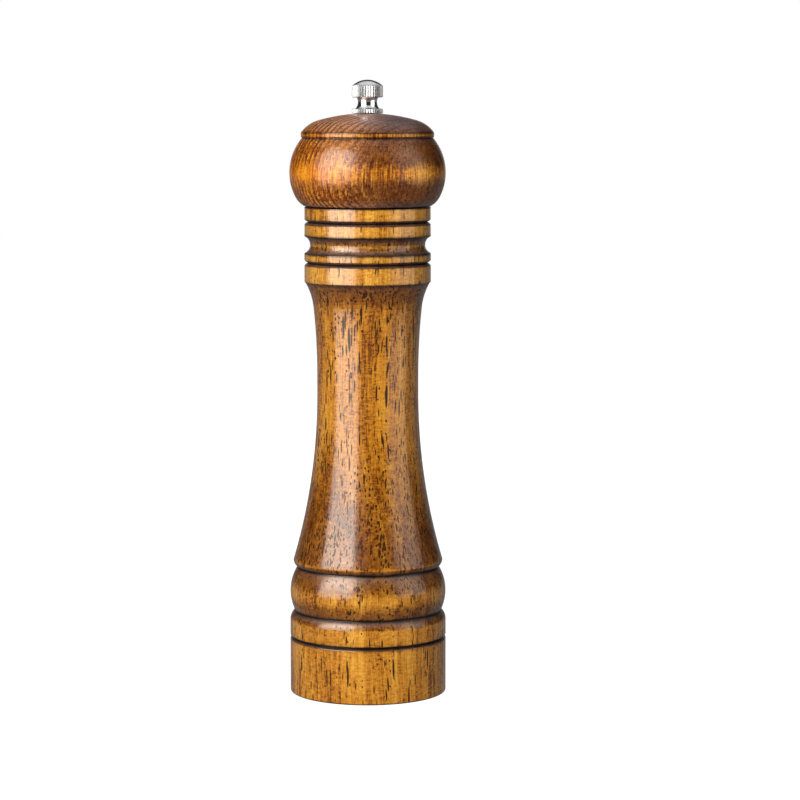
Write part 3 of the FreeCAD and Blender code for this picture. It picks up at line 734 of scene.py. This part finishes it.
def moulded_group():
    """Fine orange peel and slight unevenness of moulded or fired pieces."""
    g, inp, out = new_tree("ShaderNodeTree", "Moulded skin", [
        ("Fine", "Float"), ("Roughness", "Float"), ("Spread", "Float")], [
        ("Roughness", "Float"), ("Peel", "Float"), ("Cloud", "Float")])
    place = millimetres(g)
    fine = g.add("ShaderNodeVectorMath", {0: place, "Scale": inp["Fine"]}, operation="SCALE")
    peel = noise(g, fine.outputs[0])
    cloud = noise(g, g.vector("MULTIPLY", place, (0.16, 0.16, 0.16)), 3.0)
    swing = g.math("MULTIPLY", g.math("SUBTRACT", cloud, 0.5), inp["Spread"])
    g.feed(out["Roughness"], g.math("ADD", inp["Roughness"], swing))
    g.feed(out["Peel"], peel)
    g.feed(out["Cloud"], cloud)
    return g.tree


def new_finish(name):
    """An empty material with its graph and its Principled shader."""
    material = bpy.data.materials.new(name)
    material.use_nodes = True
    g = Graph(material.node_tree)
    return material, g, material.node_tree.nodes["Principled BSDF"].inputs


def placed_group(g, tree, **values):
    """A shader group in a material, with its inputs set."""
    node = g.add("ShaderNodeGroup", node_tree=tree)
    for label, value in values.items():
        g.feed(node.inputs[label.replace("_", " ").title()], value)
    return node.outputs


def bumped(g, height, distance):
    """Normal from a height."""
    return g.add("ShaderNodeBump", {"Height": height, "Distance": distance, "Strength": 1.0}).outputs[0]


# What the colour of wood is multiplied by
# Pale band: paler wood with a painted pale sheen over it
SAPWOOD_AND_SHEEN_TINT = (1.15, 1.4, 3.0, 1)
# Painted shade on slopes of the right side
RIGHT_SHADE_TINT = (0.6, 0.6, 0.8, 1)
# Painted light: the left side lighter and warmer
LEFT_LIGHT_TINT = (1.3, 1.05, 0.4, 1)
RING_TINT = (0.28, 0.2, 0.2, 1)
# Painted sheen: steep faces on the right paler and less saturated
RIGHT_SHEEN_TINT = (1.45, 1.5, 1.7, 1)
# Painted shade with a bluish painted reflection on end grain of the right side
RIGHT_END_SHADE_TINT = (0.16, 0.24, 0.48, 1)

# Colours of wood that hold everywhere
PORE_COLOR = tint(26, 13, 6)
# Colour of burnt lines, and of the painted shade in the cove and the painted shadow at the seam
BURNT_AND_SHADED_COLOR = tint(24, 13, 8)
RAW_LIGHT = tint(206, 170, 122)
RAW_DARK = tint(164, 122, 78)
RAW_PORE = tint(96, 64, 36)
WOOD_RELIEF = 0.00006


def facing(g, ends_from):
    """How far a surface leans away from the grain, shows end grain and is torn, each from 0 to 1."""
    normal = g.add("ShaderNodeTexCoord").outputs["Normal"]
    lean = g.math("ABSOLUTE", g.add("ShaderNodeSeparateXYZ", {0: normal}).outputs["Z"])
    slant = ramped(g, lean, 0.0, 0.29)
    ends = ramped(g, lean, ends_from, ends_from + 0.5)
    torn = g.math("MULTIPLY", slant, g.math("SUBTRACT", 1.0, g.math("MULTIPLY", ends, 0.6)))
    return slant, ends, torn


def pale_wood(g, height, torn, pale):
    """Share of the pale band, paler wood under a painted pale sheen, whole in the collar and less in the
    foot, and how far it thins out the pores.

    Torn slopes keep more of their pores in the collar, and fewer in the foot.
    """
    edge = 0.5
    foot_share = 0.4 * pale
    low = g.math("MULTIPLY", ramped(g, height, Z_BEAD_HIGH + edge, Z_BEAD_HIGH - edge), foot_share)
    high = g.math("MULTIPLY", ramped(g, height, Z_COLLAR - edge, Z_COLLAR + edge), pale)
    sapwood_and_sheen = g.math("MAXIMUM", low, high)
    healed = g.math("MULTIPLY", torn, g.math("SUBTRACT", low, high))
    thinned = g.math("ADD", g.math("MULTIPLY", sapwood_and_sheen, 0.55), g.math("MULTIPLY", healed, 1.1))
    return sapwood_and_sheen, thinned


def side_grain(g, figure, slant, sapwood_and_sheen, left, right, slant_tint):
    """Stained wood along the grain, with a painted pale sheen on the pale band. Slopes soak up more stain,
    dark wood most; slopes on the right side get painted shade, those on the left less of it as painted
    light, and steep faces on the right a pale painted sheen.
    """
    # Painted shade on the right, and painted light on the left
    right_shade = g.math("MULTIPLY", right, 0.3)
    stain_and_shade = g.math("SUBTRACT", 1.5, g.math("MULTIPLY", figure["Tone"], 0.75))
    stain_and_shade = g.math("SUBTRACT", g.math("ADD", stain_and_shade, right_shade), g.math("MULTIPLY", left, 0.55))
    right_sheen = g.math("MULTIPLY", right, g.math("SUBTRACT", 1.0, slant))
    # Pale band: paler wood with a painted pale sheen
    color = tinted(g, sapwood_and_sheen, figure["Color"], SAPWOOD_AND_SHEEN_TINT)
    color = tinted(g, g.math("MULTIPLY", slant, stain_and_shade), color, slant_tint)
    color = tinted(g, g.math("MULTIPLY", right_shade, slant), color, RIGHT_SHADE_TINT)
    # Painted sheen on steep faces of the right side
    return tinted(g, right_sheen, color, RIGHT_SHEEN_TINT)


def end_grain(g, figure, left, right, end_light, end_dark):
    """Stained wood across the grain: rings, clearer on the left, and on the right painted shade with a
    bluish painted reflection.
    """
    clarity = g.math("ADD", 0.45, g.math("MULTIPLY", g.math("SUBTRACT", left, right), 0.4))
    rings = g.math("MULTIPLY", figure["Ring"], clarity)
    banded = g.math("SUBTRACT", ramped(g, figure["Tone"], -0.45, 1.0), rings, clamp=True)
    return tinted(g, right, mixed(g, banded, end_dark, end_light), RIGHT_END_SHADE_TINT)


def marked_wood(g, color, figure, slant, burn):
    """Wood with its dark pores, darkened in patches: burnt where a groove was cut, painted shade in the
    cove and painted shadow at the seam.
    """
    depth = g.math("SUBTRACT", 0.95, g.math("MULTIPLY", slant, 0.1))
    patchy = g.math("SUBTRACT", 1.6, g.math("MULTIPLY", figure["Tone"], 0.7))
    color = mixed(g, g.math("MULTIPLY", figure["Pore"], depth), color, PORE_COLOR)
    return mixed(g, g.math("MULTIPLY", burn, patchy, clamp=True), color, BURNT_AND_SHADED_COLOR)


def raw_wood(g, figure):
    """Bare wood."""
    color = mixed(g, ramped(g, figure["Tone"], -0.3, 1.1), RAW_DARK, RAW_LIGHT)
    return mixed(g, g.math("MULTIPLY", figure["Pore"], 0.6), color, RAW_PORE)


def lacquer(g, shader, figure, burn, bare, ends, gloss, coat):
    """Clear coat over slightly rough wood: thinner on pores, burnt grooves and painted shade, none on bare
    wood.
    """
    wood_rough = 0.3
    bare_rougher = 0.35
    ends_duller = 0.26
    rough = g.math("ADD", wood_rough, g.math("MULTIPLY", figure["Tone"], 0.08))
    g.feed(shader["Roughness"], g.math("ADD", rough, g.math("MULTIPLY", bare, bare_rougher)))
    unfilled = g.math("MAXIMUM", g.math("MULTIPLY", figure["Pore"], 0.5), g.math("MULTIPLY", burn, 0.7))
    closed = g.math("SUBTRACT", 1.0, g.math("MAXIMUM", bare, unfilled), clamp=True)
    g.feed(shader["Coat Weight"], g.math("MULTIPLY", closed, coat))
    g.feed(shader["Coat Roughness"], g.math("ADD", gloss, g.math("MULTIPLY", ends, ends_duller)))
    shader["Coat IOR"].default_value = 1.5
    shader["Specular IOR Level"].default_value = 0.05
    relief = g.math("SUBTRACT", g.math("MULTIPLY", figure["Tone"], 0.15), figure["Pore"])
    g.feed(shader["Normal"], bumped(g, relief, WOOD_RELIEF))


def lacquered_wood(name, offset, pith, ring_width, light, middle, dark, end_light, end_dark, slant_tint,
                   ring_depth, streak, pore_size, pore_share, gloss, coat, ends_from, pale, side_light):
    """Stained wood under gloss lacquer: dark end grain, burnt grooves, painted shade in the cove and
    painted shadow at the seam, bare wood inside the bores.

    Pale says how much of the pale band it has: paler wood under a painted pale sheen. The last argument
    says how strongly the left side is painted lighter and warmer, as if lit, and the right side painted
    darker, with a bluish painted reflection and a pale painted sheen on steep faces.
    """
    material, g, shader = new_finish(name)
    burn = mesh_mark(g, "burn")
    bare = mesh_mark(g, "bare")
    place = g.add("ShaderNodeSeparateXYZ", {0: millimetres(g)}).outputs
    # Masks for painted light on the left side, and painted shade and sheen on the right side
    left = g.math("MULTIPLY", ramped(g, place["X"], 3.0, -17.0), side_light)
    right = g.math("MULTIPLY", ramped(g, place["X"], -5.0, 11.0), side_light)
    slant, ends, torn = facing(g, ends_from)
    sapwood_and_sheen, thinned = pale_wood(g, place["Z"], torn, pale)
    figure = placed_group(
        g, WOOD, offset=offset, pith=pith, ring_width=ring_width, ring_depth=ring_depth, streak=streak,
        pore_size=pore_size, pore_share=g.math("SUBTRACT", pore_share, thinned), torn=torn,
        light=light, middle=middle, dark=dark)
    color = side_grain(g, figure, slant, sapwood_and_sheen, left, right, slant_tint)
    color = mixed(g, ends, color, end_grain(g, figure, left, right, end_light, end_dark))
    # Painted light: the left side lighter and warmer
    color = tinted(g, left, color, LEFT_LIGHT_TINT)
    ring_lines = g.math("MULTIPLY", g.math("MULTIPLY", figure["Ring"], slant), left)
    color = tinted(g, ring_lines, color, RING_TINT)
    color = marked_wood(g, color, figure, slant, burn)
    g.feed(shader["Base Color"], mixed(g, bare, color, raw_wood(g, figure)))
    lacquer(g, shader, figure, burn, bare, ends, gloss, coat)
    return material


# Painted shade on knurled rims, and deeper painted shade in the bottom of their flutes
KNURL_SHADE_GREY = (0.28, 0.29, 0.31, 1)
FLUTE_SHADE_GREY = (0.16, 0.16, 0.17, 1)


def metal(name, color, roughness, spread, grain, mark_depth, flute_shade=0.0):
    """Metal with tool marks, duller on knurled rims, with painted shade on the rims and deeper painted
    shade in the bottom of their flutes.
    """
    material, g, shader = new_finish(name)
    worked = placed_group(g, WORKED, grain=grain, roughness=roughness, spread=spread)
    knurl = g.math("MULTIPLY", mesh_mark(g, "knurl"), flute_shade)
    flute = g.math("MULTIPLY", ramped(g, mesh_mark(g, "flute"), 0.35, 0.95), flute_shade)
    surface = mixed(g, ramped(g, worked["Dulling"], 0.35, 0.7), color, shaded(color, 0.82))
    surface = mixed(g, knurl, surface, KNURL_SHADE_GREY)
    surface = mixed(g, flute, surface, FLUTE_SHADE_GREY)
    g.feed(shader["Base Color"], surface)
    g.feed(shader["Roughness"], g.math("ADD", worked["Roughness"], g.math("MULTIPLY", knurl, 0.5)))
    shader["Metallic"].default_value = 1.0
    g.feed(shader["Normal"], bumped(g, worked["Mark"], mark_depth))
    return material


def moulded(name, color, roughness, fine, depth, coat=0.0):
    """Moulded plastic or fired ceramic."""
    material, g, shader = new_finish(name)
    skin = placed_group(g, MOULDED, fine=fine, roughness=roughness, spread=0.12)
    surface = mixed(g, ramped(g, skin["Cloud"], 0.3, 0.75), color, shaded(color, 0.88))
    g.feed(shader["Base Color"], surface)
    g.feed(shader["Roughness"], skin["Roughness"])
    shader["Coat Weight"].default_value = coat
    g.feed(shader["Normal"], bumped(g, skin["Peel"], depth))
    return material


TURNING = turning_tree()
SCREW_RING = screw_ring_tree()
THREAD = thread_tree()
WOOD = wood_figure_group()
WORKED = worked_metal_group()
MOULDED = moulded_group()

BODY_WOOD = lacquered_wood(
    "Body wood", offset=(310, 120, 40), pith=(470, 330, 0), ring_width=6.5,
    light=tint(228, 164, 54), middle=tint(191, 121, 23), dark=tint(113, 60, 10),
    end_light=tint(102, 67, 47), end_dark=tint(52, 32, 24), slant_tint=(0.43, 0.35, 0.34, 1),
    ring_depth=0.16, streak=0.7, pore_size=0.3, pore_share=0.04, gloss=0.17, coat=1.0, ends_from=0.2,
    pale=0.5, side_light=0.0)
# The head's purplish end-grain colours and bluish slope tint are stain with a painted lavender reflection
# over it
HEAD_WOOD = lacquered_wood(
    "Head wood", offset=(30, 410, 200), pith=(-40, 480, 0), ring_width=2.0,
    light=tint(226, 160, 50), middle=tint(180, 107, 20), dark=tint(110, 56, 12),
    end_light=tint(202, 148, 120), end_dark=tint(80, 50, 50), slant_tint=(0.4, 0.34, 0.66, 1),
    ring_depth=0.12, streak=1.3, pore_size=0.21, pore_share=0.16, gloss=0.26, coat=0.62, ends_from=0.45,
    pale=0.0, side_light=0.8)
CHROME = metal(
    "Chrome", (0.8, 0.8, 0.82, 1), roughness=0.08, spread=0.06, grain=(2.0, 2.0, 2.0),
    mark_depth=0.000002, flute_shade=0.85)
ALUMINIUM = metal(
    "Drawn aluminium", (0.7, 0.7, 0.71, 1), roughness=0.42, spread=0.2, grain=(9.0, 9.0, 0.12),
    mark_depth=0.00001)
STEEL = metal(
    "Stamped steel", (0.58, 0.58, 0.6, 1), roughness=0.3, spread=0.25, grain=(0.4, 8.0, 8.0),
    mark_depth=0.00001)
ZINC = metal(
    "Plated screws", (0.64, 0.64, 0.66, 1), roughness=0.24, spread=0.2, grain=(3.0, 3.0, 3.0),
    mark_depth=0.00001)
SPRING = metal(
    "Spring wire", (0.5, 0.5, 0.52, 1), roughness=0.28, spread=0.2, grain=(5.0, 5.0, 5.0),
    mark_depth=0.000006)
HOUSING = moulded("Housing plastic", tint(224, 221, 211), roughness=0.46, fine=5.0, depth=0.00002)
NYLON = moulded("Bush nylon", tint(230, 227, 216), roughness=0.4, fine=4.0, depth=0.00001)
CERAMIC = moulded("Fired ceramic", tint(232, 228, 218), roughness=0.3, fine=9.0, depth=0.00001, coat=0.3)
SLEEVE = moulded("Sleeve plastic", tint(40, 40, 42), roughness=0.5, fine=6.0, depth=0.00002)


# Pieces

def dress(piece, body, slot, *nodes):
    """Puts a piece on its body, in place of its CAD nodes."""
    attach(piece, body)
    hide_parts(*nodes)


def from_node(name, node, finish, sharp=30):
    """A piece with a node's own shape, joined up and smoothed where its faces run on."""
    mesh = bmesh.new()
    mesh.from_mesh(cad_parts[node].data)
    bmesh.ops.remove_doubles(mesh, verts=mesh.verts, dist=JOIN_DISTANCE)
    data = bpy.data.meshes.new(name)
    mesh.to_mesh(data)
    mesh.free()
    stale = data.attributes.get("custom_normal")
    if stale:
        data.attributes.remove(stale)
    data.materials.append(finish)
    data.shade_smooth()
    data.set_sharp_from_angle(angle=math.radians(sharp))
    piece = bpy.data.objects.new(name, data)
    bpy.context.scene.collection.objects.link(piece)
    return piece


def capped_tube(mesh, rings):
    """Joins rings of points, given in millimetres, into a tube with closed ends."""
    rows = [[mesh.verts.new(point * MM) for point in ring] for ring in rings]
    for below, above in zip(rows, rows[1:]):
        for i in range(len(below)):
            j = (i + 1) % len(below)
            mesh.faces.new((below[i], below[j], above[j], above[i]))
    mesh.faces.new(rows[0][::-1])
    mesh.faces.new(rows[-1])


def threaded_rod():
    """Square rod with eased edges and a threaded round top."""
    low, high = (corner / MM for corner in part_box("drive_shaft"))
    half = high.x
    z_stud = high.z - STUD_L
    corners = []
    for turn in range(4):
        for x, y in ((half, half - ROD_EASE), (half - ROD_EASE, half)):
            corners.append(Matrix.Rotation(turn * math.pi / 2, 3, "Z") @ Vector((x, y, 0)))
    square = [[Vector((c.x, c.y, z)) for c in corners] for z in (low.z, z_stud)]
    outline = (
        (STUD_ROOT_R, z_stud),
        (STUD_ROOT_R, high.z - STUD_POINT),
        (STUD_ROOT_R - STUD_POINT, high.z))
    angles = [2 * math.pi * k / STUD_SIDES for k in range(STUD_SIDES)]
    stud = [[Vector((r * math.cos(a), r * math.sin(a), z)) for a in angles] for r, z in outline]
    core = bmesh.new()
    capped_tube(core, square)
    capped_tube(core, stud)
    mesh = bpy.data.meshes.new("rod")
    core.to_mesh(mesh)
    core.free()
    length = STUD_L - THREAD_FROM_FOOT - THREAD_FROM_TOP
    return grown("threaded_rod", mesh, THREAD, sharp=30, turns=length / THREAD_PITCH,
                 radius=(STUD_R - THREAD_RIDGE) * MM, length=length * MM,
                 start=(z_stud + THREAD_FROM_FOOT) * MM, ridge=THREAD_RIDGE * MM, finish=ALUMINIUM)


def dress_spring(name, node):
    """Coil in its node's own shape, fixed in place."""
    coil = from_node(name, node, SPRING)
    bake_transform(coil)
    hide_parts(node)


def dress_screws(name, node, body, count, circle, shank_r, head_r, head_h):
    """Cross-head screws in place of a node's plain ones, made from a blank that is then thrown away."""
    low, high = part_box(node)
    z_seat = low.z / MM + head_h
    section = screw_section(high.z / MM - z_seat, shank_r, head_r, head_h)
    blank = turned_piece(name, section, ZINC, segments=40, ease=0.1)
    slot_l = head_r * 1.1
    slot_w = head_r * 0.26
    slot_deep = head_h * 0.5
    screws = grown(
        name + "_set", blank.data, SCREW_RING, sharp=35, count=count, circle=circle * MM,
        height=z_seat * MM, slot_length=slot_l * MM, slot_width=slot_w * MM, slot_depth=slot_deep * MM,
        head_height=head_h * MM, finish=ZINC)
    bpy.data.objects.remove(blank)
    dress(screws, body, "screw_steel", node)


dress(turned_piece("turned_body", body_section(), BODY_WOOD), "body_assembly", "body_wood", "mill_body")
dress(turned_piece("turned_head", head_section(), HEAD_WOOD), "head_assembly", "head_wood", "mill_head")
knurled_finial = turned_piece(
    "knurled_finial", finial_section(), CHROME, segments=KNURLS * STEPS_A_KNURL, ease=0.12, sharp=35,
    knurls=KNURLS, knurl_depth=KNURL_DEPTH)
dress(knurled_finial, "finial", "chrome", "finial_nut")
dress(threaded_rod(), "drive_line", "rod_aluminium", "drive_shaft")
dress_screws("flange_screws", "housing_screws", "body_assembly", count=3, circle=18.75,
             shank_r=1.3, head_r=2.3, head_h=1.6)
dress_screws("plate_screws", "head_plate_screws", "head_assembly", count=3, circle=7.095,
             shank_r=1.1, head_r=2.0, head_h=1.3)
dress_screws("burr_screw", "rotor_screw", "drive_line", count=1, circle=0.0,
             shank_r=1.5, head_r=2.8, head_h=1.9)

PLAIN_PIECES = [
    ("drive_plate", "head_drive_plate", STEEL, "head_assembly", "plate_steel"),
    ("burr_housing", "grinder_housing", HOUSING, "body_assembly", "housing_plastic"),
    ("rod_bush", "shaft_bush", NYLON, "body_assembly", "bush_nylon"),
    ("ring_burr", "grinder_stator", CERAMIC, "body_assembly", "burr_ceramic"),
    ("cone_burr", "grinder_rotor", CERAMIC, "drive_line", "burr_ceramic"),
    ("hex_sleeve", "rotor_sleeve", SLEEVE, "drive_line", "sleeve_plastic"),
    ("thrust_washer", "spring_washer", STEEL, "spring_stack", "plate_steel"),
    ("burr_washer", "rotor_washer", STEEL, "drive_line", "plate_steel"),
    ("split_washer", "rotor_lock_washer", SPRING, "drive_line", "spring_steel"),
]
for name, node, finish, body, slot in PLAIN_PIECES:
    dress(from_node(name, node, finish), body, slot, node)
dress_spring("burr_spring", "rotor_spring")


# Stage

def white_floor():
    """Pale floor that keeps the mill's shadow.

    It is clear from below and under the foot, so that the grinder shows there.
    """
    grey = (0.45, 0.45, 0.45, 1)
    reflected_strength = 0.22
    seen_strength = 1.63
    seen_share = 0.6
    opening_r = BASE_R - 0.8
    bpy.ops.mesh.primitive_plane_add(size=6, location=(0, 0, 0))
    floor = bpy.context.object
    floor.name = "studio_floor"
    material = bpy.data.materials.new("Studio floor")
    material.use_nodes = True
    g = Graph(material.node_tree)
    rays = g.add("ShaderNodeLightPath").outputs

    def blended(share, first, second):
        """Two shaders, mixed."""
        return g.add("ShaderNodeMixShader", {0: share, 1: first, 2: second}).outputs[0]

    matt = g.add("ShaderNodeBsdfDiffuse", {"Color": grey}).outputs[0]
    dim = g.add("ShaderNodeEmission", {"Strength": reflected_strength}).outputs[0]
    glow = g.add("ShaderNodeEmission", {"Strength": seen_strength}).outputs[0]
    clear = g.add("ShaderNodeBsdfTransparent").outputs[0]
    seen = g.math("MAXIMUM", rays["Is Camera Ray"], rays["Is Transmission Ray"])
    from_axis = g.add("ShaderNodeVectorMath", {0: millimetres(g)}, operation="LENGTH").outputs["Value"]
    below = g.add("ShaderNodeNewGeometry").outputs["Backfacing"]
    opened = g.math("MAXIMUM", below, g.math("LESS_THAN", from_axis, opening_r))
    surface = blended(rays["Is Glossy Ray"], matt, dim)
    surface = blended(g.math("MULTIPLY", seen, seen_share), surface, glow)
    surface = blended(opened, surface, clear)
    g.feed(material.node_tree.nodes["Material Output"].inputs["Surface"], surface)
    floor.data.materials.append(material)


def studio_world():
    """White surroundings for the eye, a modest even light, and bright fields for reflections."""
    even_light = 0.13
    dark_field = 0.03
    bright_field = 0.8
    ground_share = 0.6
    world = bpy.data.worlds.new("Studio")
    bpy.context.scene.world = world
    world.use_nodes = True
    g = Graph(world.node_tree)
    rays = g.add("ShaderNodeLightPath").outputs
    way = g.add("ShaderNodeSeparateXYZ", {0: g.add("ShaderNodeTexCoord").outputs["Generated"]}).outputs
    backdrop = g.math("MULTIPLY", ramped(g, way["Y"], 0.9, 0.98), ramped(g, way["Z"], 0.25, 0.1))
    ceiling = ramped(g, way["Z"], 0.55, 0.8)
    ground = g.math("MULTIPLY", ramped(g, way["Z"], -0.3, -0.6), ground_share)
    bright = g.math("MAXIMUM", g.math("MAXIMUM", backdrop, ceiling), ground)
    mirrored = g.math("ADD", dark_field, g.math("MULTIPLY", bright, bright_field))
    even = g.add("ShaderNodeMix", {0: rays["Is Glossy Ray"], 2: even_light, 3: mirrored}).outputs[0]
    seen = g.math("MAXIMUM", rays["Is Camera Ray"], rays["Is Transmission Ray"])
    background = world.node_tree.nodes["Background"].inputs
    g.feed(background["Strength"], g.math("MAXIMUM", seen, even))
    background["Color"].default_value = (1, 1, 1, 1)


WARM_WHITE = (1.0, 0.95, 0.87)
NOT_MIRRORED = ("glossy", "camera")
ONLY_MIRRORED = ("diffuse", "camera")


def soft_box(name, side, distance, height, aim, size, radiance, unseen_by, fade=0.0, lift=1.0):
    """Rectangular soft light at an angle from the camera's side of the mill, to the right if positive.

    It is aimed at a height on the axis. With a fade, it fades out over that share of its width at either
    side, and is lift times as bright in its upper half.
    """
    light = bpy.data.lights.new(name, "AREA")
    light.shape = "RECTANGLE"
    light.size, light.size_y = size
    light.energy = radiance * math.pi * light.size * light.size_y
    light.color = WARM_WHITE
    if fade > 0:
        light.use_nodes = True
        g = Graph(light.node_tree)
        spot = g.add("ShaderNodeNewGeometry").outputs["Parametric"]
        across = g.add("ShaderNodeSeparateXYZ", {0: spot}).outputs
        left = ramped(g, across["X"], 0.0, fade)
        sides = g.math("MULTIPLY", left, ramped(g, across["X"], 1.0, 1.0 - fade))
        rise = g.math("ADD", 1.0, g.math("MULTIPLY", ramped(g, across["Y"], 0.0, 0.5), lift - 1))
        g.feed(light.node_tree.nodes["Emission"].inputs["Strength"], g.math("MULTIPLY", sides, rise))
    lamp = bpy.data.objects.new(name, light)
    turn = math.radians(side)
    lamp.location = (distance * math.sin(turn), -distance * math.cos(turn), height)
    lamp.rotation_euler = (Vector((0, 0, aim)) - lamp.location).to_track_quat("-Z", "Y").to_euler()
    for ray in unseen_by:
        setattr(lamp, "visible_" + ray, False)
    bpy.context.scene.collection.objects.link(lamp)


def photo_camera():
    """Camera fitted to the photograph: place, tilt and lens."""
    tilt = math.radians(6.208)
    data = bpy.data.cameras.new("Camera")
    data.sensor_width = 36.0
    data.lens = 127.63
    camera = bpy.data.objects.new("Camera", data)
    camera.location = (0.0109, -0.9555, 0.2036)
    camera.rotation_euler = (math.pi / 2 - tilt, 0, 0)
    bpy.context.scene.collection.objects.link(camera)
    bpy.context.scene.camera = camera


white_floor()
studio_world()
photo_camera()
soft_box("Key", side=-20, distance=1.1, height=0.55, aim=0.1, size=(0.7, 0.7), radiance=10.4,
         unseen_by=NOT_MIRRORED)
soft_box("Left panel", side=-48, distance=0.42, height=0.33, aim=0.33, size=(0.52, 0.62), radiance=5.7,
         unseen_by=ONLY_MIRRORED, fade=0.2, lift=2.5)
soft_box("Right panel", side=68, distance=0.5, height=0.35, aim=0.35, size=(0.66, 0.66), radiance=1.8,
         unseen_by=ONLY_MIRRORED, fade=0.35, lift=1.4)
soft_box("Back fill", side=180, distance=1.1, height=0.5, aim=0.1, size=(0.8, 0.8), radiance=5.0,
         unseen_by=NOT_MIRRORED)
soft_box("Under fill", side=20, distance=0.4, height=-0.9, aim=0.0, size=(0.8, 0.8), radiance=3.6,
         unseen_by=NOT_MIRRORED)

bpy.context.scene.view_settings.view_transform = "Standard"
